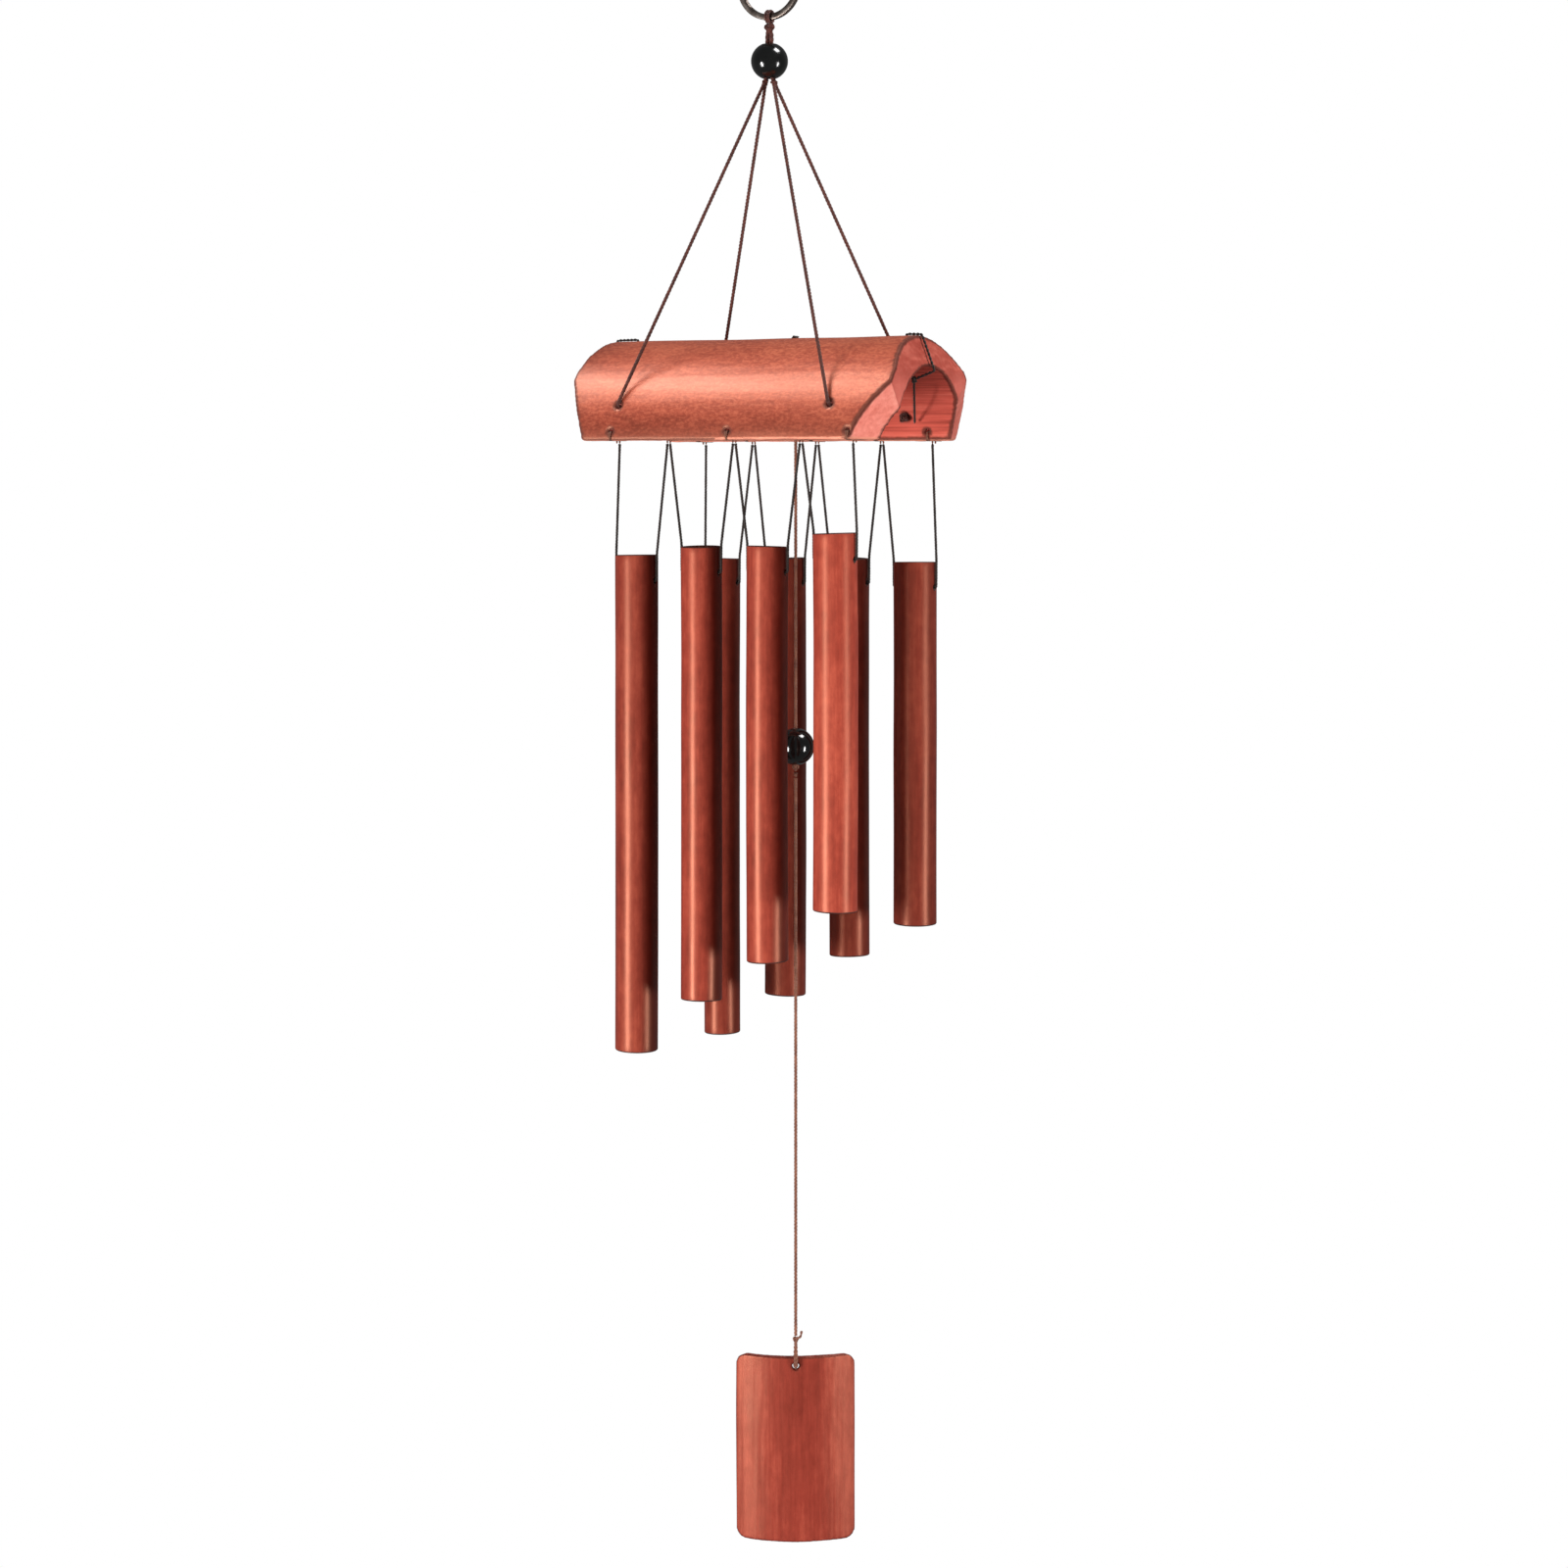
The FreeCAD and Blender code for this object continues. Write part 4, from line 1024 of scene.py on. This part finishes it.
# ---------------------------------------------------------------- studio
def aim(obj, place, target):
    obj.location = place
    obj.rotation_mode = "QUATERNION"
    obj.rotation_quaternion = (Vector(target) - Vector(place)).to_track_quat("-Z", "Y")


def round_the_object(azimuth, elevation, distance):
    """A place seen from the chime's middle; azimuth 0 is straight in front (-Y), 90 is +X."""
    a, e = math.radians(azimuth), math.radians(elevation)
    way = Vector((math.sin(a) * math.cos(e), -math.cos(a) * math.cos(e), math.sin(e)))
    return (cad_low + cad_high) / 2 + way * distance


def soft_light(name, azimuth, elevation, distance, size, power,
               shape="RECTANGLE", only=None, mirrored=True):
    """An area light aimed at the chime, for one object only if asked, and not mirrored if not."""
    light = bpy.data.lights.new(name, "AREA")
    light.shape = shape
    light.size, light.size_y = size
    light.energy = power
    obj = bpy.data.objects.new(name, light)
    bpy.context.scene.collection.objects.link(obj)
    aim(obj, round_the_object(azimuth, elevation, distance), (cad_low + cad_high) / 2)
    obj.visible_camera = False
    obj.visible_glossy = mirrored
    if only:
        lit = bpy.data.collections.new(name + "_lights")
        lit.objects.link(only)
        obj.light_linking.receiver_collection = lit


CAMERA_AZIMUTH = 29
CAMERA_DISTANCE = 1.68
CAMERA_HEIGHT = -0.238
PALE = (1, 1, 1, 1)


def studio():
    """Two low lights that draw the lines on the tubes, top light, sheen on the roof, and soft fills."""
    soft_light("low_left", CAMERA_AZIMUTH - 52, -12, 1.9, (0.4, 0.9), 38, shape="ELLIPSE")
    soft_light("low_right", CAMERA_AZIMUTH + 58, -12, 1.9, (0.3, 0.9), 20, shape="ELLIPSE")
    soft_light("overhead", CAMERA_AZIMUTH + 80, 62, 2.0, (0.7, 0.7), 28)
    soft_light("roof_sheen", -CAMERA_AZIMUTH - 27, 54, 2.0, (0.9, 0.5), 30,
               only=bpy.data.objects["roof_culm"])
    soft_light("behind", CAMERA_AZIMUTH + 180, 10, 2.6, (1.6, 1.6), 24, mirrored=False)
    soft_light("front_fill", CAMERA_AZIMUTH - 12, 4, 2.4, (1.4, 1.4), 17, mirrored=False)


def surround():
    """A white surround for the camera, and a dim one for everything that it lights."""
    world = bpy.data.worlds.new("surround")
    bpy.context.scene.world = world
    world.use_nodes = True
    nodes, links = world.node_tree.nodes, world.node_tree.links
    shown = next(n for n in nodes if n.type == "BACKGROUND")
    shown.inputs["Color"].default_value = PALE
    fill = nodes.new("ShaderNodeBackground")
    fill.inputs["Color"].default_value = PALE
    fill.inputs["Strength"].default_value = 0.14
    seen = nodes.new("ShaderNodeLightPath")
    either = nodes.new("ShaderNodeMixShader")
    out = next(n for n in nodes if n.type == "OUTPUT_WORLD")
    links.new(seen.outputs["Is Camera Ray"], either.inputs[0])
    links.new(fill.outputs[0], either.inputs[1])
    links.new(shown.outputs[0], either.inputs[2])
    links.new(either.outputs[0], out.inputs["Surface"])


def floor():
    """A pale floor that fades into the surround a little way out from under the chime."""
    shader = Shader("pale_floor")
    reach = shader.vector("LENGTH", shader.coords.outputs["Object"])
    dust = shader.noise(shader.place(), 3, 3)
    colour = shader.ramp(dust, [(0.3, (0.8, 0.8, 0.8, 1)), (0.7, (0.84, 0.84, 0.84, 1))])
    shader.set(Base_Color=colour, Roughness=0.9, Specular_IOR_Level=0.1)
    glow = shader.add("ShaderNodeEmission", {"Color": PALE})
    fade = shader.add("ShaderNodeMixShader", {0: shader.span(reach, 0.25, 0.8),
                                              1: shader.surface.outputs[0], 2: glow.outputs[0]})
    output = next(n for n in shader.tree.nodes if n.type == "OUTPUT_MATERIAL")
    shader.plug(fade.outputs[0], output.inputs["Surface"])
    bm = bmesh.new()
    bmesh.ops.create_circle(bm, cap_ends=True, segments=96, radius=9)
    obj = add_object("floor", mesh_of(bm, "floor", [shader.material]))
    obj.location.z = cad_low.z - 0.3
    obj.visible_glossy = False
    obj.visible_diffuse = False


def camera():
    """Level long-lens view from the front right, shifted down so that plumb lines stay upright."""
    data = bpy.data.cameras.new("camera")
    obj = bpy.data.objects.new("camera", data)
    bpy.context.scene.collection.objects.link(obj)
    side = math.radians(CAMERA_AZIMUTH)
    place = Vector((math.sin(side), -math.cos(side), 0)) * CAMERA_DISTANCE
    aim(obj, place + Z_AXIS * CAMERA_HEIGHT, Z_AXIS * CAMERA_HEIGHT)
    data.sensor_width = 36
    data.lens = 78.75
    data.shift_x, data.shift_y = 0.00925, -0.2
    data.clip_start, data.clip_end = 0.05, 60
    bpy.context.scene.camera = obj


# ---------------------------------------------------------------- build
split_ring()
hanger()
bead("bead_upper", "top_bead", "top_bead", TOP_BEAD_BORE)
roof()
hanging_cord(-1, "hanging_cord_left")
hanging_cord(1, "hanging_cord_right")
end_tie(1, "end_tie_right")
end_tie(-1, "end_tie_left")
for row in ROW_SIGN:
    row_stitches(row)
    for number in range(1, TUBES_PER_ROW + 1):
        tube(row, number)
        tube_cord(row, number)
clapper_strings()
bead("bead_lower", "clapper_bead", "clapper_bead", CLAPPER_BORE)
sail_loop()
sail()
studio()
surround()
floor()
camera()
bpy.context.scene.view_settings.view_transform = "Standard"
